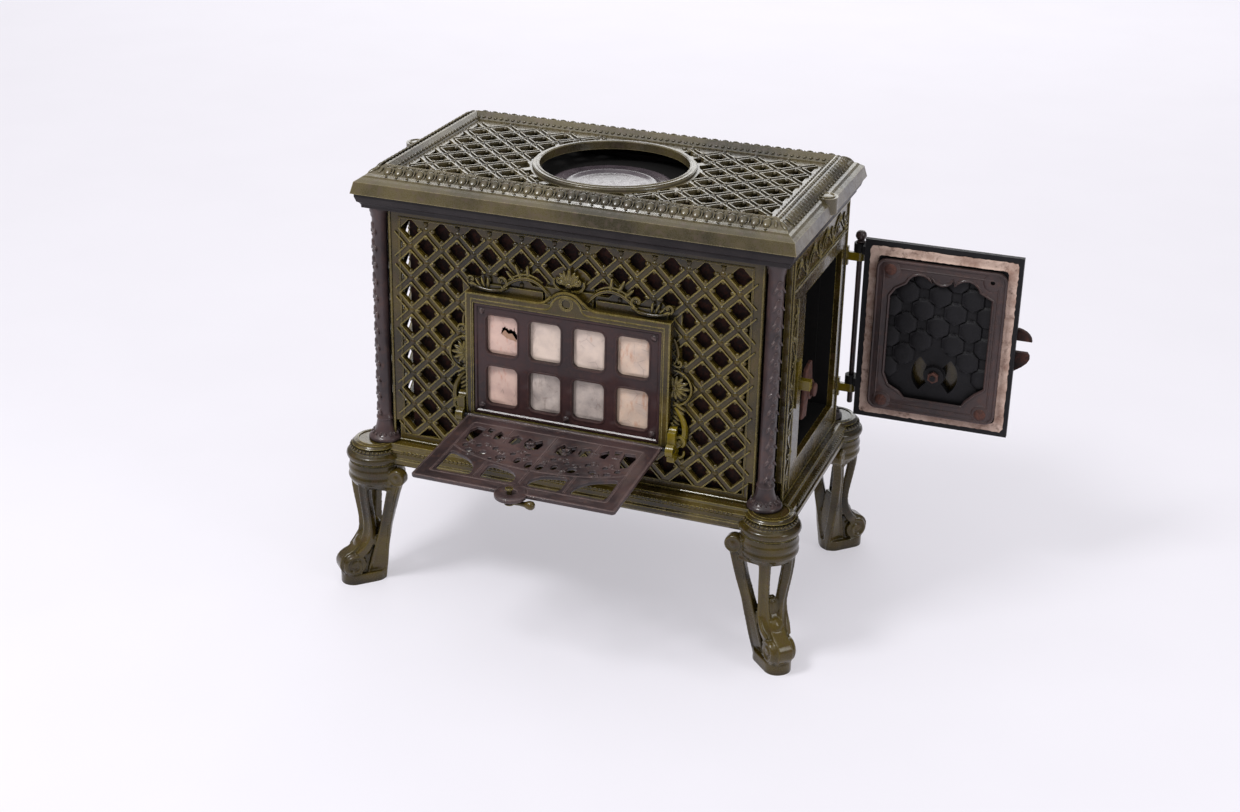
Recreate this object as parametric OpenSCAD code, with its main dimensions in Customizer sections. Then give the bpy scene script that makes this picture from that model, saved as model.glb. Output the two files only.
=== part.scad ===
// Parlour stove of enamelled cast iron: a pierced casing on four scroll legs round an inner
// firebox, with a mica window behind a drop-down grille and a hinged fire door at the right.
// Origin on the floor under the centre, +Z up, front towards -Y, units in millimetres.

/* [Overall] */
// Height of the leg, floor to the underside of the base
leg_h = 191; // [189:1:192]
// Half the width of the top plate at its lower edge
top_half_x = 310; // [300:1:320]
// Half the depth of the top plate at its lower edge
top_half_y = 182.3; // [180:0.1:186]
// Height of the top plate's crest above the floor
crest_z = 620; // [618:1:624]

/* [Casing] */
// Level of the top of the base moulding
base_top = 220; // [216:1:224]
// Level of the top of the casing panels
panel_top = 563; // [560:1:566]
// Distance from the centre to the outer face of the front and rear panels
panel_y = 158; // [156:0.5:159]
// Distance from the centre to the outer face of the side panels
panel_x = 297; // [295:0.5:297]
// Thickness of the front, rear and left panels
panel_t = 6; // [4:0.5:7]
// Radius of the round corner columns
column_r = 12; // [10:0.5:12]

/* [Lattice] */
// Distance between hole columns
pitch_x = 46.6; // [46:0.1:47]
// Distance between hole rows
pitch_z = 46.9; // [46:0.1:47]
// Half the diagonal of one diamond hole
hole_d = 15.6; // [12:0.1:17]

/* [Openings] */
// Radius of the round cooking opening in the top plate
ring_r = 103; // [98:0.5:105]
// Bore radius of the flue collar
flue_r = 48.5; // [45:0.5:52]
// Height of the flue collar's axis
flue_z = 470; // [460:1:480]

/* [Fire door] */
// Hinge axis, distance to the right of the centre
door_x = 316; // [315:0.5:318]
// Hinge axis, distance behind the centre
door_y = 146; // [145:0.5:147]
// Angle of the door at rest, counted from closed
door_open = 91.1; // [0:0.1:120]

/* [Grille flap] */
// Hinge axis of the flap, distance in front of the centre
flap_y = 177.5; // [177:0.5:179]
// Hinge axis of the flap, height
flap_z = 287; // [286:0.5:288]
// Angle of the flap at rest, counted from closed
flap_open = 93.4; // [0:0.1:95]

/* [Grate] */
// Axis of the grate shaft, distance behind the centre
shaft_y = 40; // [36:1:44]
// Axis of the grate shaft, height
shaft_z = 311; // [310:1:314]
// Radius of the grate shaft
shaft_r = 8; // [6:0.5:9]

/* [Hidden] */
$fn = 64;
eps = 0.3;             // gap kept between faces that pass each other
fit = 0.05;            // radial running clearance of a pin in its bore
enamel = [0.28, 0.26, 0.15];
violet = [0.31, 0.27, 0.28];
iron = [0.17, 0.17, 0.18];
rust = [0.36, 0.22, 0.17];

// turrets and columns at the corners
turret = [291, 166];
turret_r = 42;
column = [279.5, 157];
foot_r = 24;

// base moulding
base_half = [316, 183];
base_in = [262, 130];

// firebox, outside to outside
fb_lo = [-240, -146];
fb_hi = [268, 124];
fb_t = 6;
plate_z = 578;
plate_t = 6;
lid_y = -12;
lid_r = 86;
plug_r = 80;

// lattice fields
field_lo = 231;
field_hi = 551;
row_z = 256;
field_x = 250;

// window
mica_y = -171;
pane = [45.3, 56.5];
pane_pitch = [62.7, 73.9];
pane_mid_z = 371.5;
win_half = 134.5;
win_z = [290.5, 452.5];
arch_z = 458;
arch_r = 24;
button_v = 183;

// door, drawn closed: y runs back from the free edge, x runs outwards
seat_x = panel_x + 1.3;
rim_t = 8;
field_t = 4.7;
door_w = [10.2, 230.5];
door_h = [243.5, 511];
liner_w = [30, 212];
liner_h = [262, 488];
open_w = [27, 216];
open_h = [255, 496];
rod_r = 3.95;
reg_w = 122;
reg_z = 322;
latch_w = 208;
latch_z = 378;

function bez(p, n) = [for (k = [0:n]) let (t = k / n, s = 1 - t)
    s * s * s * p[0] + 3 * s * s * t * p[1] + 3 * s * t * t * p[2] + t * t * t * p[3]];
function arc(c, r, a, b, n) = [for (k = [0:n]) let (t = a + (b - a) * k / n)
    c + r * [cos(t), sin(t)]];

module block(lo, hi) translate(lo) cube(hi - lo);

// a moulding carried round a rectangle, mitred at its corners; profile is [inset, height]
module mitred_ring(hx, hy, profile, depth) {
    for (side = [0:3]) {
        h = side % 2 == 0 ? [hx, hy] : [hy, hx];
        rotate([0, 0, 90 * side]) intersection() {
            translate([-h[0], -h[1], 0]) rotate([90, 0, 90]) linear_extrude(2 * h[0]) polygon(profile);
            linear_extrude(crest_z + 10) polygon([[-h[0], -h[1]], [h[0], -h[1]],
                [h[0] - depth, -h[1] + depth], [-h[0] + depth, -h[1] + depth]]);
        }
    }
}

// diamonds of one lattice, in a field from lo to hi, with a full row at level z0
module diamonds(cols, rows, z0, pz) {
    for (i = [-cols - 1:cols], k = [-1:rows], half = [0, 1])
        translate([pitch_x * (i + half / 2), z0 + pz * (k + half / 2)]) circle(hole_d, $fn = 4);
}

// upright pierced panel in the XZ plane, front face at y = 0 and thickness towards +Y
module pierced_panel(half, field, t, cols) {
    translate([0, t, 0]) rotate([90, 0, 0]) linear_extrude(t) difference() {
        translate([-half, base_top]) square([2 * half, panel_top - base_top]);
        intersection() {
            translate([-field, field_lo]) square([2 * field, field_hi - field_lo]);
            difference() {
                diamonds(cols, 7, row_z, pitch_z);
                children();
            }
        }
    }
}

// ---- base and legs ----

module base_frame() color(enamel) difference() {
    union() {
        mitred_ring(base_half[0], base_half[1], [[2, leg_h], [0, leg_h + 3], [0, leg_h + 9],
            [3, leg_h + 11], [3, leg_h + 17], [1.5, leg_h + 19], [1.5, leg_h + 23],
            [7, leg_h + 26], [9, base_top], [54, base_top], [54, leg_h], [47, leg_h],
            [47, base_top - 7], [10, base_top - 7], [10, leg_h]], 53.5);
        for (sx = [-1, 1], sy = [-1, 1]) translate([sx * turret[0], sy * turret[1], 0])
            rotate_extrude() polygon(concat([[0, leg_h], [38, leg_h]],
                arc([turret_r - 7, leg_h + 8], 7, -70, 70, 8),
                [[35.5, leg_h + 16], [35.5, leg_h + 20], [31, leg_h + 23]],
                [[30, base_top], [0, base_top]]));
    }
    block([-base_in[0], -base_in[1], leg_h - 1], [base_in[0], base_in[1], base_top + 1]);
    for (sx = [-1, 1], sy = [-1, 1]) translate([sx * turret[0], sy * turret[1], leg_h - 1])
        cylinder(h = 15, r = 4.2);
}

module bottom_plate() color(iron)
    block([-base_in[0], -base_in[1], base_top - 8], [base_in[0], base_in[1], base_top]);

// upright rib under the collar, in its own plane: outwards, up
module upright_outline() polygon(concat(
    bez([[37, 165], [36, 132], [25, 112], [26, 88]], 8),
    bez([[26, 88], [26, 74], [30, 62], [40, 54]], 5),
    [[20, 36], [6, 56]],
    bez([[8, 80], [15, 108], [25, 130], [25, 165]], 6)));

// outline of the foot in the diagonal plane: outwards, up
module foot_outline() polygon(concat(
    bez([[16, 84], [28, 70], [34, 58], [46, 50]], 6),
    arc([46, 30], 17, 60, -40, 8),
    [[56, 6], [52, 0], [0, 0]],
    bez([[0, 0], [-8, 20], [-6, 60], [2, 84]], 6)));

// outline of an ear rib in the plane of a casing face: along the face, up
module ear_rib_outline() polygon(concat(
    bez([[-54, 170.5], [-46, 128], [-30, 100], [-28, 56]], 8),
    bez([[-28, 56], [-26, 30], [-18, 12], [-10, 0]], 4),
    [[12, 0], [12, 44]],
    bez([[4, 52], [-8, 76], [-14, 104], [-24, 150]], 8),
    [[-12, 159], [-12, 170.5]]));

module leg_shape() {
    // frame of the leg: turret axis at the origin, outwards along +X and -Y
    difference() {
        union() {
            translate([0, 0, 156]) rotate([0, 0, 225]) rotate_extrude(angle = 180)
                polygon([[26, 0], [35, 0], [37, 5], [40, 10], [38, 16], [40, 24], [38, leg_h - 156],
                    [26, leg_h - 156]]);
            translate([0, 0, leg_h - 8]) cylinder(h = 8, r = 27);
            for (m = [0, 1]) mirror([m, m, 0]) {
                rotate([0, 0, -90]) translate([0, 11.5, 0]) rotate([90, 0, 0]) linear_extrude(15)
                    upright_outline();
                translate([-44, -14, 0]) rotate([0, 0, -6]) translate([44, 0, 0])
                    rotate([90, 0, 0]) linear_extrude(11) ear_rib_outline();
                translate([-43, -12, 174]) rotate([90, 70, 0]) cylinder(h = 15, r = 12.5);
            }
            rotate([0, 0, -45]) translate([0, 18, 0]) rotate([90, 0, 0]) linear_extrude(36)
                foot_outline();
        }
        translate([0, 0, leg_h - 9]) cylinder(h = 10, r = 4.2);
        translate([-100, -100, -20]) cube([200, 200, 20]);
        translate([-100, -100, leg_h]) cube([200, 200, 20]);
    }
}

module leg(sx, sy) color(enamel) mirror([sx < 0 ? 1 : 0, 0, 0]) mirror([0, sy > 0 ? 1 : 0, 0])
    translate([turret[0], -turret[1], 0]) leg_shape();

module leg_bolts() color(iron) for (sx = [-1, 1], sy = [-1, 1])
    translate([sx * turret[0], sy * turret[1], leg_h - 14]) {
        cylinder(h = 6, r = 8, $fn = 6);
        cylinder(h = 24, r = 4);
    }

module corner_column(sx, sy) color(violet) translate([sx * column[0], sy * column[1], base_top])
    rotate_extrude() polygon(concat([[0, 0], [foot_r, 0], [foot_r, 4], [foot_r - 3, 7]],
        bez([[foot_r - 3, 7], [15, 10], [13, 18], [column_r, 30]], 6),
        [[column_r, panel_top - base_top - 8], [column_r + 1.5, panel_top - base_top - 5],
         [column_r + 1.5, panel_top - base_top], [0, panel_top - base_top]]));

// room for the round foot and head of a column beside a panel
module foot_room() for (sx = [-1, 1], sy = [-1, 1])
    translate([sx * column[0], sy * column[1], base_top - 1]) {
        cylinder(h = 32, r = foot_r + eps);
        cylinder(h = panel_top, r = column_r + 1.5 + eps);
    }

// ---- casing ----

module front_panel() color(enamel) difference() {
    translate([0, -panel_y, 0]) pierced_panel(266, field_x, panel_t, 6) {
        translate([-156, 270]) square([312, 212]);
        translate([0, 484]) circle(34);
    }
    block([-138, -panel_y - 1, 287], [138, -panel_y + panel_t + 1, 456]);
    translate([0, -panel_y - 1, arch_z + 13]) rotate([-90, 0, 0]) cylinder(h = panel_t + 2, r = 9);
    foot_room();
}

module rear_panel() color(enamel) difference() {
    translate([0, panel_y - panel_t, 0]) pierced_panel(266, field_x, panel_t, 6)
        translate([0, flue_z]) circle(76);
    translate([0, panel_y - panel_t - 1, flue_z]) rotate([-90, 0, 0])
        cylinder(h = panel_t + 2, r = flue_r + 8);
    foot_room();
}

module left_panel() color(enamel) difference() {
    translate([-panel_x, 0, 0]) rotate([0, 0, -90]) pierced_panel(143.5, 124, panel_t, 3)
        translate([-150, 505]) square([300, 60]);
    foot_room();
}

module right_panel() color(enamel) difference() {
    block([panel_x - 8, -143.5, base_top], [panel_x, 143.5, panel_top]);
    block([panel_x - 9, door_y - open_w[1], open_h[0]],
        [panel_x + 1, door_y - open_w[0], open_h[1]]);
    foot_room();
}

module cornice() color(iron)
    mitred_ring(top_half_x - 4, top_half_y - 4, concat([[7, panel_top]],
        [for (p = arc([0, panel_top + 2], 7, 0, 70, 5)) [p[0], p[1]]],
        [[1, panel_top + 13], [0, panel_top + 16], [0, crest_z - 36], [32, crest_z - 36],
            [32, panel_top]]), 31.5);

module top_plate() color(enamel) {
    low = crest_z - 36;
    difference() {
        union() {
            mitred_ring(top_half_x, top_half_y, [[0, low], [4, low + 16], [9, low + 19],
                [12, low + 21.5], [16, low + 23], [18, low + 26], [22, low + 28.8], [27, low + 31],
                [33, low + 33.6], [36, low + 36], [38, low + 35.5], [43, low + 31], [48, low + 26], [48, low + 20],
                [38, low + 20], [28, low + 24], [14, low + 14], [10, low + 6], [10, low]], 47.5);
            translate([0, 0, low + 20]) linear_extrude(6) difference() {
                square([2 * (top_half_x - 47.5), 2 * (top_half_y - 47.3)], center = true);
                intersection() {
                    square([2 * (top_half_x - 56), 2 * (top_half_y - 52)], center = true);
                    difference() {
                        diamonds(6, 3, -47 * 1.5, 47);
                        circle(ring_r + 13);
                    }
                }
            }
            translate([0, 0, low + 20]) cylinder(h = 11, r = ring_r + 8, $fn = 128);
            for (s = [-1, 1]) translate([s * (top_half_x - 12), 0, low + 2]) cylinder(h = 22, r = 16);
        }
        translate([0, 0, low - 1]) cylinder(h = 60, r = ring_r, $fn = 128);
    }
}

// ---- firebox ----

module hot_plate() color(iron) difference() {
    block([fb_lo[0], fb_lo[1], plate_z], [fb_hi[0], fb_hi[1], plate_z + plate_t]);
    translate([0, lid_y, plate_z - 1]) cylinder(h = plate_t + 2, r = plug_r, $fn = 128);
}

module hot_plate_lid() color(iron) translate([0, lid_y, plate_z]) {
    translate([0, 0, plate_t]) cylinder(h = 6, r = lid_r, $fn = 128);
    translate([0, 0, 1]) cylinder(h = plate_t - 1, r = plug_r - 0.6, $fn = 128);
    translate([0, 0, plate_t + 6]) difference() {
        cylinder(h = 1.5, r = 60, $fn = 128);
        translate([0, 0, -1]) cylinder(h = 4, r = 56, $fn = 128);
    }
}

module firebox_front() color(rust) difference() {
    block([fb_lo[0], fb_lo[1], base_top], [fb_hi[0], fb_lo[1] + fb_t, plate_z]);
    block([-127, fb_lo[1] - 1, 298], [127, fb_lo[1] + fb_t + 1, 445]);
    foot_room();
}

module firebox_rear() color(rust) difference() {
    block([fb_lo[0], fb_hi[1] - fb_t, base_top], [fb_hi[0], fb_hi[1], plate_z]);
    translate([0, fb_hi[1] - fb_t - 1, flue_z]) rotate([-90, 0, 0])
        cylinder(h = fb_t + 2, r = flue_r + 2);
}

module firebox_left() color(rust)
    block([fb_lo[0], fb_lo[1] + fb_t, base_top], [fb_lo[0] + fb_t, fb_hi[1] - fb_t, plate_z]);

module firebox_right() color(rust) difference() {
    block([fb_hi[0] - fb_t, fb_lo[1] + fb_t, base_top], [fb_hi[0], fb_hi[1] - fb_t, plate_z]);
    block([fb_hi[0] - fb_t - 1, door_y - open_w[1], open_h[0]],
        [fb_hi[0] + 1, door_y - open_w[0], open_h[1]]);
    foot_room();
}

module door_throat() color(rust) difference() {
    block([fb_hi[0], door_y - open_w[1] - 5, open_h[0] - 5],
        [panel_x - 8, door_y - open_w[0] + 5, open_h[1] + 5]);
    block([fb_hi[0] - 1, door_y - open_w[1], open_h[0]],
        [panel_x - 7, door_y - open_w[0], open_h[1]]);
}

module firebricks() color([0.62, 0.45, 0.33]) {
    back = fb_hi[1] - fb_t;
    foot = shaft_z - 11;
    for (k = [0:5]) block([fb_lo[0] + fb_t + 78 * k + 0.5, back - 18, foot],
        [fb_lo[0] + fb_t + 78 * k + 77.5, back, 404]);
    for (k = [0:1]) block([fb_lo[0] + fb_t, fb_lo[1] + fb_t + 82 * k + 0.5, foot],
        [fb_lo[0] + fb_t + 13, fb_lo[1] + fb_t + 82 * k + 81, 404]);
}

module flue_collar() color(iron) translate([0, fb_hi[1], flue_z]) rotate([-90, 0, 0]) difference() {
    union() {
        cylinder(h = 5, r = flue_r + 20);
        cylinder(h = 66, r = flue_r + 5);
        translate([0, 0, 58]) cylinder(h = 8, r = flue_r + 7);
    }
    translate([0, 0, -1]) cylinder(h = 68, r = flue_r);
}

module tie_rods() color(iron) for (sx = [-1, 1], sy = [-1, 1])
    translate([sx * 276, sy * 128.3, base_top]) {
        cylinder(h = panel_top - base_top, r = 4);
        translate([0, 0, panel_top - base_top - 6]) cylinder(h = 6, r = 8, $fn = 6);
    }

// ---- mica window ----

module window_surround() color(enamel) difference() {
    union() {
        block([-146, -174, 284], [146, -panel_y, 466]);
        translate([0, -174, arch_z]) rotate([-90, 0, 0]) cylinder(h = 16, r = arch_r);
        block([-137.7, -panel_y - 1, 287.3], [137.7, fb_lo[1], 455.7]);
    }
    block([-win_half, -175, win_z[0]], [win_half, -165, win_z[1]]);
    block([-127, -166, 298], [127, fb_lo[1] + 1, 445]);
    translate([0, -175, flap_z + button_v]) rotate([-90, 0, 0]) cylinder(h = 40, r = 6.5);
}

module pane_grid() for (i = [-1.5:1:1.5], k = [-0.5:1:0.5])
    translate([pane_pitch[0] * i, 0, pane_mid_z + pane_pitch[1] * k]) children();

module screw_places() for (p = [[-123, 303], [0, 303], [123, 303], [-123, 441], [123, 441]])
    translate([p[0], 0, p[1]]) children();

module rounded_bar(w, h, r, y0, y1) translate([0, y1, 0]) rotate([90, 0, 0]) linear_extrude(y1 - y0)
    union() {
        square([w - 2 * r, h], center = true);
        square([w, h - 2 * r], center = true);
        for (a = [-1, 1], b = [-1, 1]) translate([a * (w / 2 - r), b * (h / 2 - r)]) circle(r);
    }

module mica_frame() color([0.27, 0.18, 0.18]) difference() {
    block([-win_half + 0.5, mica_y, win_z[0] + 0.5], [win_half - 0.5, -165, win_z[1] - 0.5]);
    pane_grid() rounded_bar(pane[0], pane[1], 8, mica_y - 1, -164);
    screw_places() translate([0, mica_y - 1, 0]) rotate([-90, 0, 0]) cylinder(h = 8, r = 2.1);
}

module mica_retainer() color(iron) difference() {
    block([-126.7, -164.2, 298.3], [126.7, -161.7, 444.7]);
    pane_grid() rounded_bar(pane[0], pane[1], 8, -165, -161);
    screw_places() translate([0, -165, 0]) rotate([-90, 0, 0]) cylinder(h = 5, r = 2.1);
}

module mica_sheet(n) color([0.8, 0.72, 0.68, 0.85]) {
    i = (n - 1) % 4 - 1.5;
    k = n <= 4 ? 0.5 : -0.5;
    translate([pane_pitch[0] * i, 0, pane_mid_z + pane_pitch[1] * k])
        block([-26, -165, -31], [26, -164.2, 31]);
}

module mica_screws() color(iron) screw_places() {
    translate([0, mica_y - 2, 0]) rotate([-90, 0, 0]) cylinder(h = 2, r = 3.4);
    translate([0, mica_y, 0]) rotate([-90, 0, 0]) cylinder(h = 9.5, r = 1.9);
}

// ---- drop-down grille ----

module flap_lug(s) color(enamel) difference() {
    union() {
        block([s * 152.5 - 5, -flap_y, 270], [s * 152.5 + 5, -panel_y, 312]);
        translate([s * 152.5 - 5, -flap_y, flap_z]) rotate([0, 90, 0]) cylinder(h = 10, r = 9);
        translate([s * 152.5 - 5, -panel_y - 8, 310]) rotate([0, 90, 0]) cylinder(h = 10, r = 8);
    }
    translate([s * 152.5 - 6, -flap_y, flap_z]) rotate([0, 90, 0]) cylinder(h = 12, r = 2.8 + fit);
}

// puts what is drawn closed at its place at rest
module flap_at_rest() translate([0, -flap_y, flap_z]) rotate([flap_open, 0, 0])
    translate([0, flap_y, -flap_z]) children();

// one pierced opening of the grille, w wide and h high, its upper corners rounded off
module grille_hole(x, v, w, h) translate([x, flap_z + v]) intersection() {
    translate([-w / 2, 0]) square([w, h]);
    translate([0, h - w * 0.58]) circle(w * 0.58);
}

module grille_outline() difference() {
    union() {
        translate([-141, flap_z]) square([282, 179]);
        translate([0, flap_z + 178]) circle(22);
    }
    for (x = [-92, -31, 32, 94]) {
        grille_hole(x, 115, 44, 40);
        grille_hole(x, 25, 38, 34);
        for (s = [-1, 1]) grille_hole(x + 13 * s, 78, 12, 18);
    }
}

module flap_grille() color(violet) flap_at_rest() difference() {
    union() {
        translate([0, -flap_y + 2.5, 0]) rotate([90, 0, 0]) linear_extrude(5) grille_outline();
        translate([-141, -flap_y, flap_z]) rotate([0, 90, 0]) cylinder(h = 282, r = 3.2);
    }
    translate([-142, -flap_y, flap_z]) rotate([0, 90, 0]) cylinder(h = 22, r = 2.1);
    translate([120, -flap_y, flap_z]) rotate([0, 90, 0]) cylinder(h = 22, r = 2.1);
    translate([0, -flap_y - 4, flap_z + button_v]) rotate([-90, 0, 0]) cylinder(h = 8, r = 3.5 + fit);
}

module flap_pins() color(iron) flap_at_rest() for (s = [-1, 1]) mirror([s < 0 ? 1 : 0, 0, 0]) {
    translate([141.3, -flap_y, flap_z]) rotate([0, 90, 0]) cylinder(h = 16, r = 2.8);
    translate([121, -flap_y, flap_z]) rotate([0, 90, 0]) cylinder(h = 20.5, r = 2.05);
}

module flap_button() color(iron) flap_at_rest() translate([0, 0, flap_z + button_v]) {
    translate([0, -flap_y - 9, 0]) rotate([-90, 0, 0]) cylinder(h = 20, r = 3.5);
    translate([0, -flap_y - 12, 0]) rotate([-90, 0, 0]) cylinder(h = 9, r = 7);
    translate([0, -flap_y - 8.5, 0]) rotate([0, 90, 0]) cylinder(h = 26, r = 3.5);
    translate([26, -flap_y - 8.5, 0]) rotate([0, 90, 0]) cylinder(h = 8, r = 5.5);
    translate([0, -flap_y + 9.5, 0]) rotate([-90, 0, 0]) cylinder(h = 3, r = 5);
}

// ---- fire door ----

// puts what is drawn closed at its place at rest
module door_at_rest() translate([door_x, door_y, 0]) rotate([0, 0, door_open])
    translate([-door_x, -door_y, 0]) children();

// a lying bar through a point of the closed door, along X
module cross_pin(w, z, x0, x1, r) translate([x0, door_y - w, z]) rotate([0, 90, 0])
    cylinder(h = x1 - x0, r = r);

module hinge_lug(z) color(enamel) difference() {
    union() {
        block([panel_x, 137.5, z - 6], [door_x, 143.4, z + 6]);
        block([panel_x, 137.5, z - 14], [panel_x + 4, 143.4, z + 14]);
        translate([door_x, door_y, z - 6]) cylinder(h = 12, r = 8.5);
    }
    translate([door_x, door_y, z - 7]) cylinder(h = 14, r = rod_r + fit);
}

module latch_keeper() color(enamel) {
    block([panel_x, door_y - 253, 345], [panel_x + 5, door_y - 238, 412]);
    block([panel_x + 5, door_y - 250, 372], [panel_x + 21, door_y - 239, 385]);
}

module door_bumps() {
    for (i = [0:2], k = [0:2]) bump(76 + 45.5 * i, 349 + 46.5 * k, i == 1 && k == 0 ? 0 : 17);
    for (i = [0:1], k = [0:1]) bump(98.7 + 45.5 * i, 372.2 + 46.5 * k, 17);
}
module bump(w, z, r) if (r > 0) translate([seat_x - 3, door_y - w, z]) rotate([0, 90, 0])
    cylinder(h = 3, r = r, $fn = 6);

// two kidney slots on opposite sides of the register's axis, each spanning twice half degrees
module register_slots(x0, x1, middle, half) translate([x0, door_y - reg_w, reg_z]) rotate([90, 0, 90])
    for (a = [middle, middle + 180]) rotate_extrude(angle = 2 * half, start = a - half)
        translate([15.5, 0]) square([17.5, x1 - x0]);

module door_plate() color(enamel) door_at_rest() difference() {
    union() {
        block([seat_x, door_y - door_w[1], door_h[0]],
            [seat_x + rim_t, door_y - door_w[0], door_h[1]]);
        block([seat_x + rim_t, door_y - 216, 258], [seat_x + rim_t + field_t, door_y - 24, 497]);
        door_bumps();
        for (z = [492, 291]) {
            translate([door_x, door_y, z - 6]) cylinder(h = 12, r = 9);
            block([seat_x + 3, door_y - door_w[0] - 2, z - 6], [door_x - 3, door_y - 6, z + 6]);
        }
        cross_pin(reg_w, reg_z, seat_x - 6, seat_x, 14);
    }
    for (z = [492, 291]) translate([door_x, door_y, z - 7]) cylinder(h = 14, r = rod_r + fit);
    register_slots(seat_x - 8, seat_x + 20, 0, 50);
    cross_pin(reg_w, reg_z, seat_x - 7, seat_x + 20, 4 + fit);
    cross_pin(latch_w, latch_z, seat_x - 1, seat_x + 20, 4 + fit);
    for (p = [[50, 474], [50, 276], [192, 276], [192, 474]])
        cross_pin(p[0], p[1], seat_x - 1, seat_x + 20, 3);
}

module door_seal() color([0.78, 0.67, 0.58]) door_at_rest() difference() {
    block([panel_x + eps, door_y - 226, 249], [seat_x, door_y - 17, 505]);
    block([panel_x - 1, door_y - liner_w[1] - 1, liner_h[0] - 1],
        [seat_x + 1, door_y - liner_w[0] + 1, liner_h[1] + 1]);
}

module liner_aperture() polygon(concat(
    [[50, 318], [58, 300], [74, 292], [82, 283], [165, 283], [170, 292], [182, 304], [195, 314],
        [195, 448], [180, 456]],
    arc([158, 452], 20, 15, 150, 6), arc([123, 476], 16, -20, -160, 6),
    arc([92, 452], 20, 30, 165, 6),
    [[58, 448], [50, 436]]));

module door_liner() color(violet) door_at_rest() difference() {
    block([panel_x - 8.5, door_y - liner_w[1], liner_h[0]], [seat_x, door_y - liner_w[0], liner_h[1]]);
    translate([panel_x - 10, door_y, 0]) rotate([90, 0, 90]) linear_extrude(13) mirror([1, 0]) liner_aperture();
    for (p = [[50, 474], [50, 276], [192, 276], [192, 474]])
        cross_pin(p[0], p[1], panel_x - 10, seat_x + 1, 3);
}

module door_liner_screws() color(iron) door_at_rest() for (p = [[50, 474], [50, 276], [192, 276]]) {
    cross_pin(p[0], p[1], panel_x - 12, panel_x - 8.5, 7);
    cross_pin(p[0], p[1], panel_x - 8.5, seat_x + 12, 2.9);
}

module hinge_rod() color(iron) door_at_rest() translate([door_x, door_y, 0]) {
    translate([0, 0, 253]) cylinder(h = 248, r = rod_r);
    translate([0, 0, 498.2]) cylinder(h = 4, r = 6);
    translate([0, 0, 508]) sphere(r = 8);
}

module air_register() color(iron) door_at_rest() {
    out = seat_x + rim_t + field_t + 0.2;
    difference() {
        cross_pin(reg_w, reg_z, out, out + 3, 36);
        register_slots(out - 1, out + 4, 90, 38);
    }
    cross_pin(reg_w, reg_z, out + 3, out + 12, 9);
    cross_pin(reg_w, reg_z, seat_x - 15, out, 4);
    translate([out + 12, door_y - reg_w - 4, reg_z - 14]) cube([8, 8, 28]);
}

module register_nut() color(iron) door_at_rest() difference() {
    translate([seat_x - 12.3, door_y - reg_w, reg_z]) rotate([0, 90, 0]) cylinder(h = 6, r = 8, $fn = 6);
    cross_pin(reg_w, reg_z, seat_x - 13, seat_x - 5, 4 + fit);
}

module door_latch() color(iron) door_at_rest() {
    out = seat_x + rim_t + field_t + 0.3;
    difference() {
        translate([out, door_y, 0]) rotate([90, 0, 90]) linear_extrude(6) mirror([1, 0])
            polygon(concat(arc([latch_w, latch_z], 16, 90, 270, 12), [[222, 344], [230, 341]],
                bez([[230, 341], [250, 354], [254, 362], [246, 370]], 5), [[229, 370], [222, 378.5]],
                [[229, 387], [251, 387]], bez([[251, 387], [250, 396], [242, 402], [232, 404]], 5),
                [[222, 404]]));
        cross_pin(latch_w, latch_z, out - 1, out + 7, 4 + fit);
    }
}

module latch_pin() color(iron) door_at_rest() {
    out = seat_x + rim_t + field_t + 6.6;
    cross_pin(latch_w, latch_z, seat_x + 0.5, out, 4);
    cross_pin(latch_w, latch_z, out, out + 3, 7);
}

// ---- shaking grate ----

module grate_frame() color(iron) {
    back = fb_hi[1] - fb_t;
    translate([0, 0, shaft_z - 19]) linear_extrude(8) difference() {
        translate([fb_lo[0] + fb_t, fb_lo[1] + fb_t])
            square([fb_hi[0] - fb_lo[0] - 2 * fb_t, back - fb_lo[1] - fb_t]);
        translate([-220, shaft_y - 60]) square([466, 118]);
    }
}

module grate_bearings() color(iron) for (x = [-233, 248]) difference() {
    block([x, shaft_y - 14, shaft_z - 11], [x + 12, shaft_y + 14, shaft_z + 13]);
    translate([x - 1, shaft_y, shaft_z]) rotate([0, 90, 0]) cylinder(h = 14, r = shaft_r + fit);
}

module shaker_grate() color(iron) difference() {
    union() {
        translate([-215, shaft_y - 55, shaft_z - 7]) linear_extrude(8) difference() {
            square([456, 110]);
            for (k = [0:23], s = [0, 1]) translate([12 + 18.2 * k, 8 + 53 * s]) square([9, 41]);
        }
        translate([-215, shaft_y, shaft_z]) rotate([0, 90, 0]) cylinder(h = 456, r = shaft_r + 4);
    }
    translate([-216, shaft_y, shaft_z]) rotate([0, 90, 0]) cylinder(h = 458, r = shaft_r + fit);
}

module shaker_shaft() color(rust) {
    translate([-232, shaft_y, shaft_z]) rotate([0, 90, 0]) cylinder(h = 524, r = shaft_r);
    translate([278, 0, 0]) rotate([90, 0, 90]) linear_extrude(5) union() {
        translate([shaft_y, shaft_z]) circle(14);
        polygon([[14, 350], [42, 354], [50, 312], [32, 300], [26, 276], [0, 280], [10, 312]]);
    }
}

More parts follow.
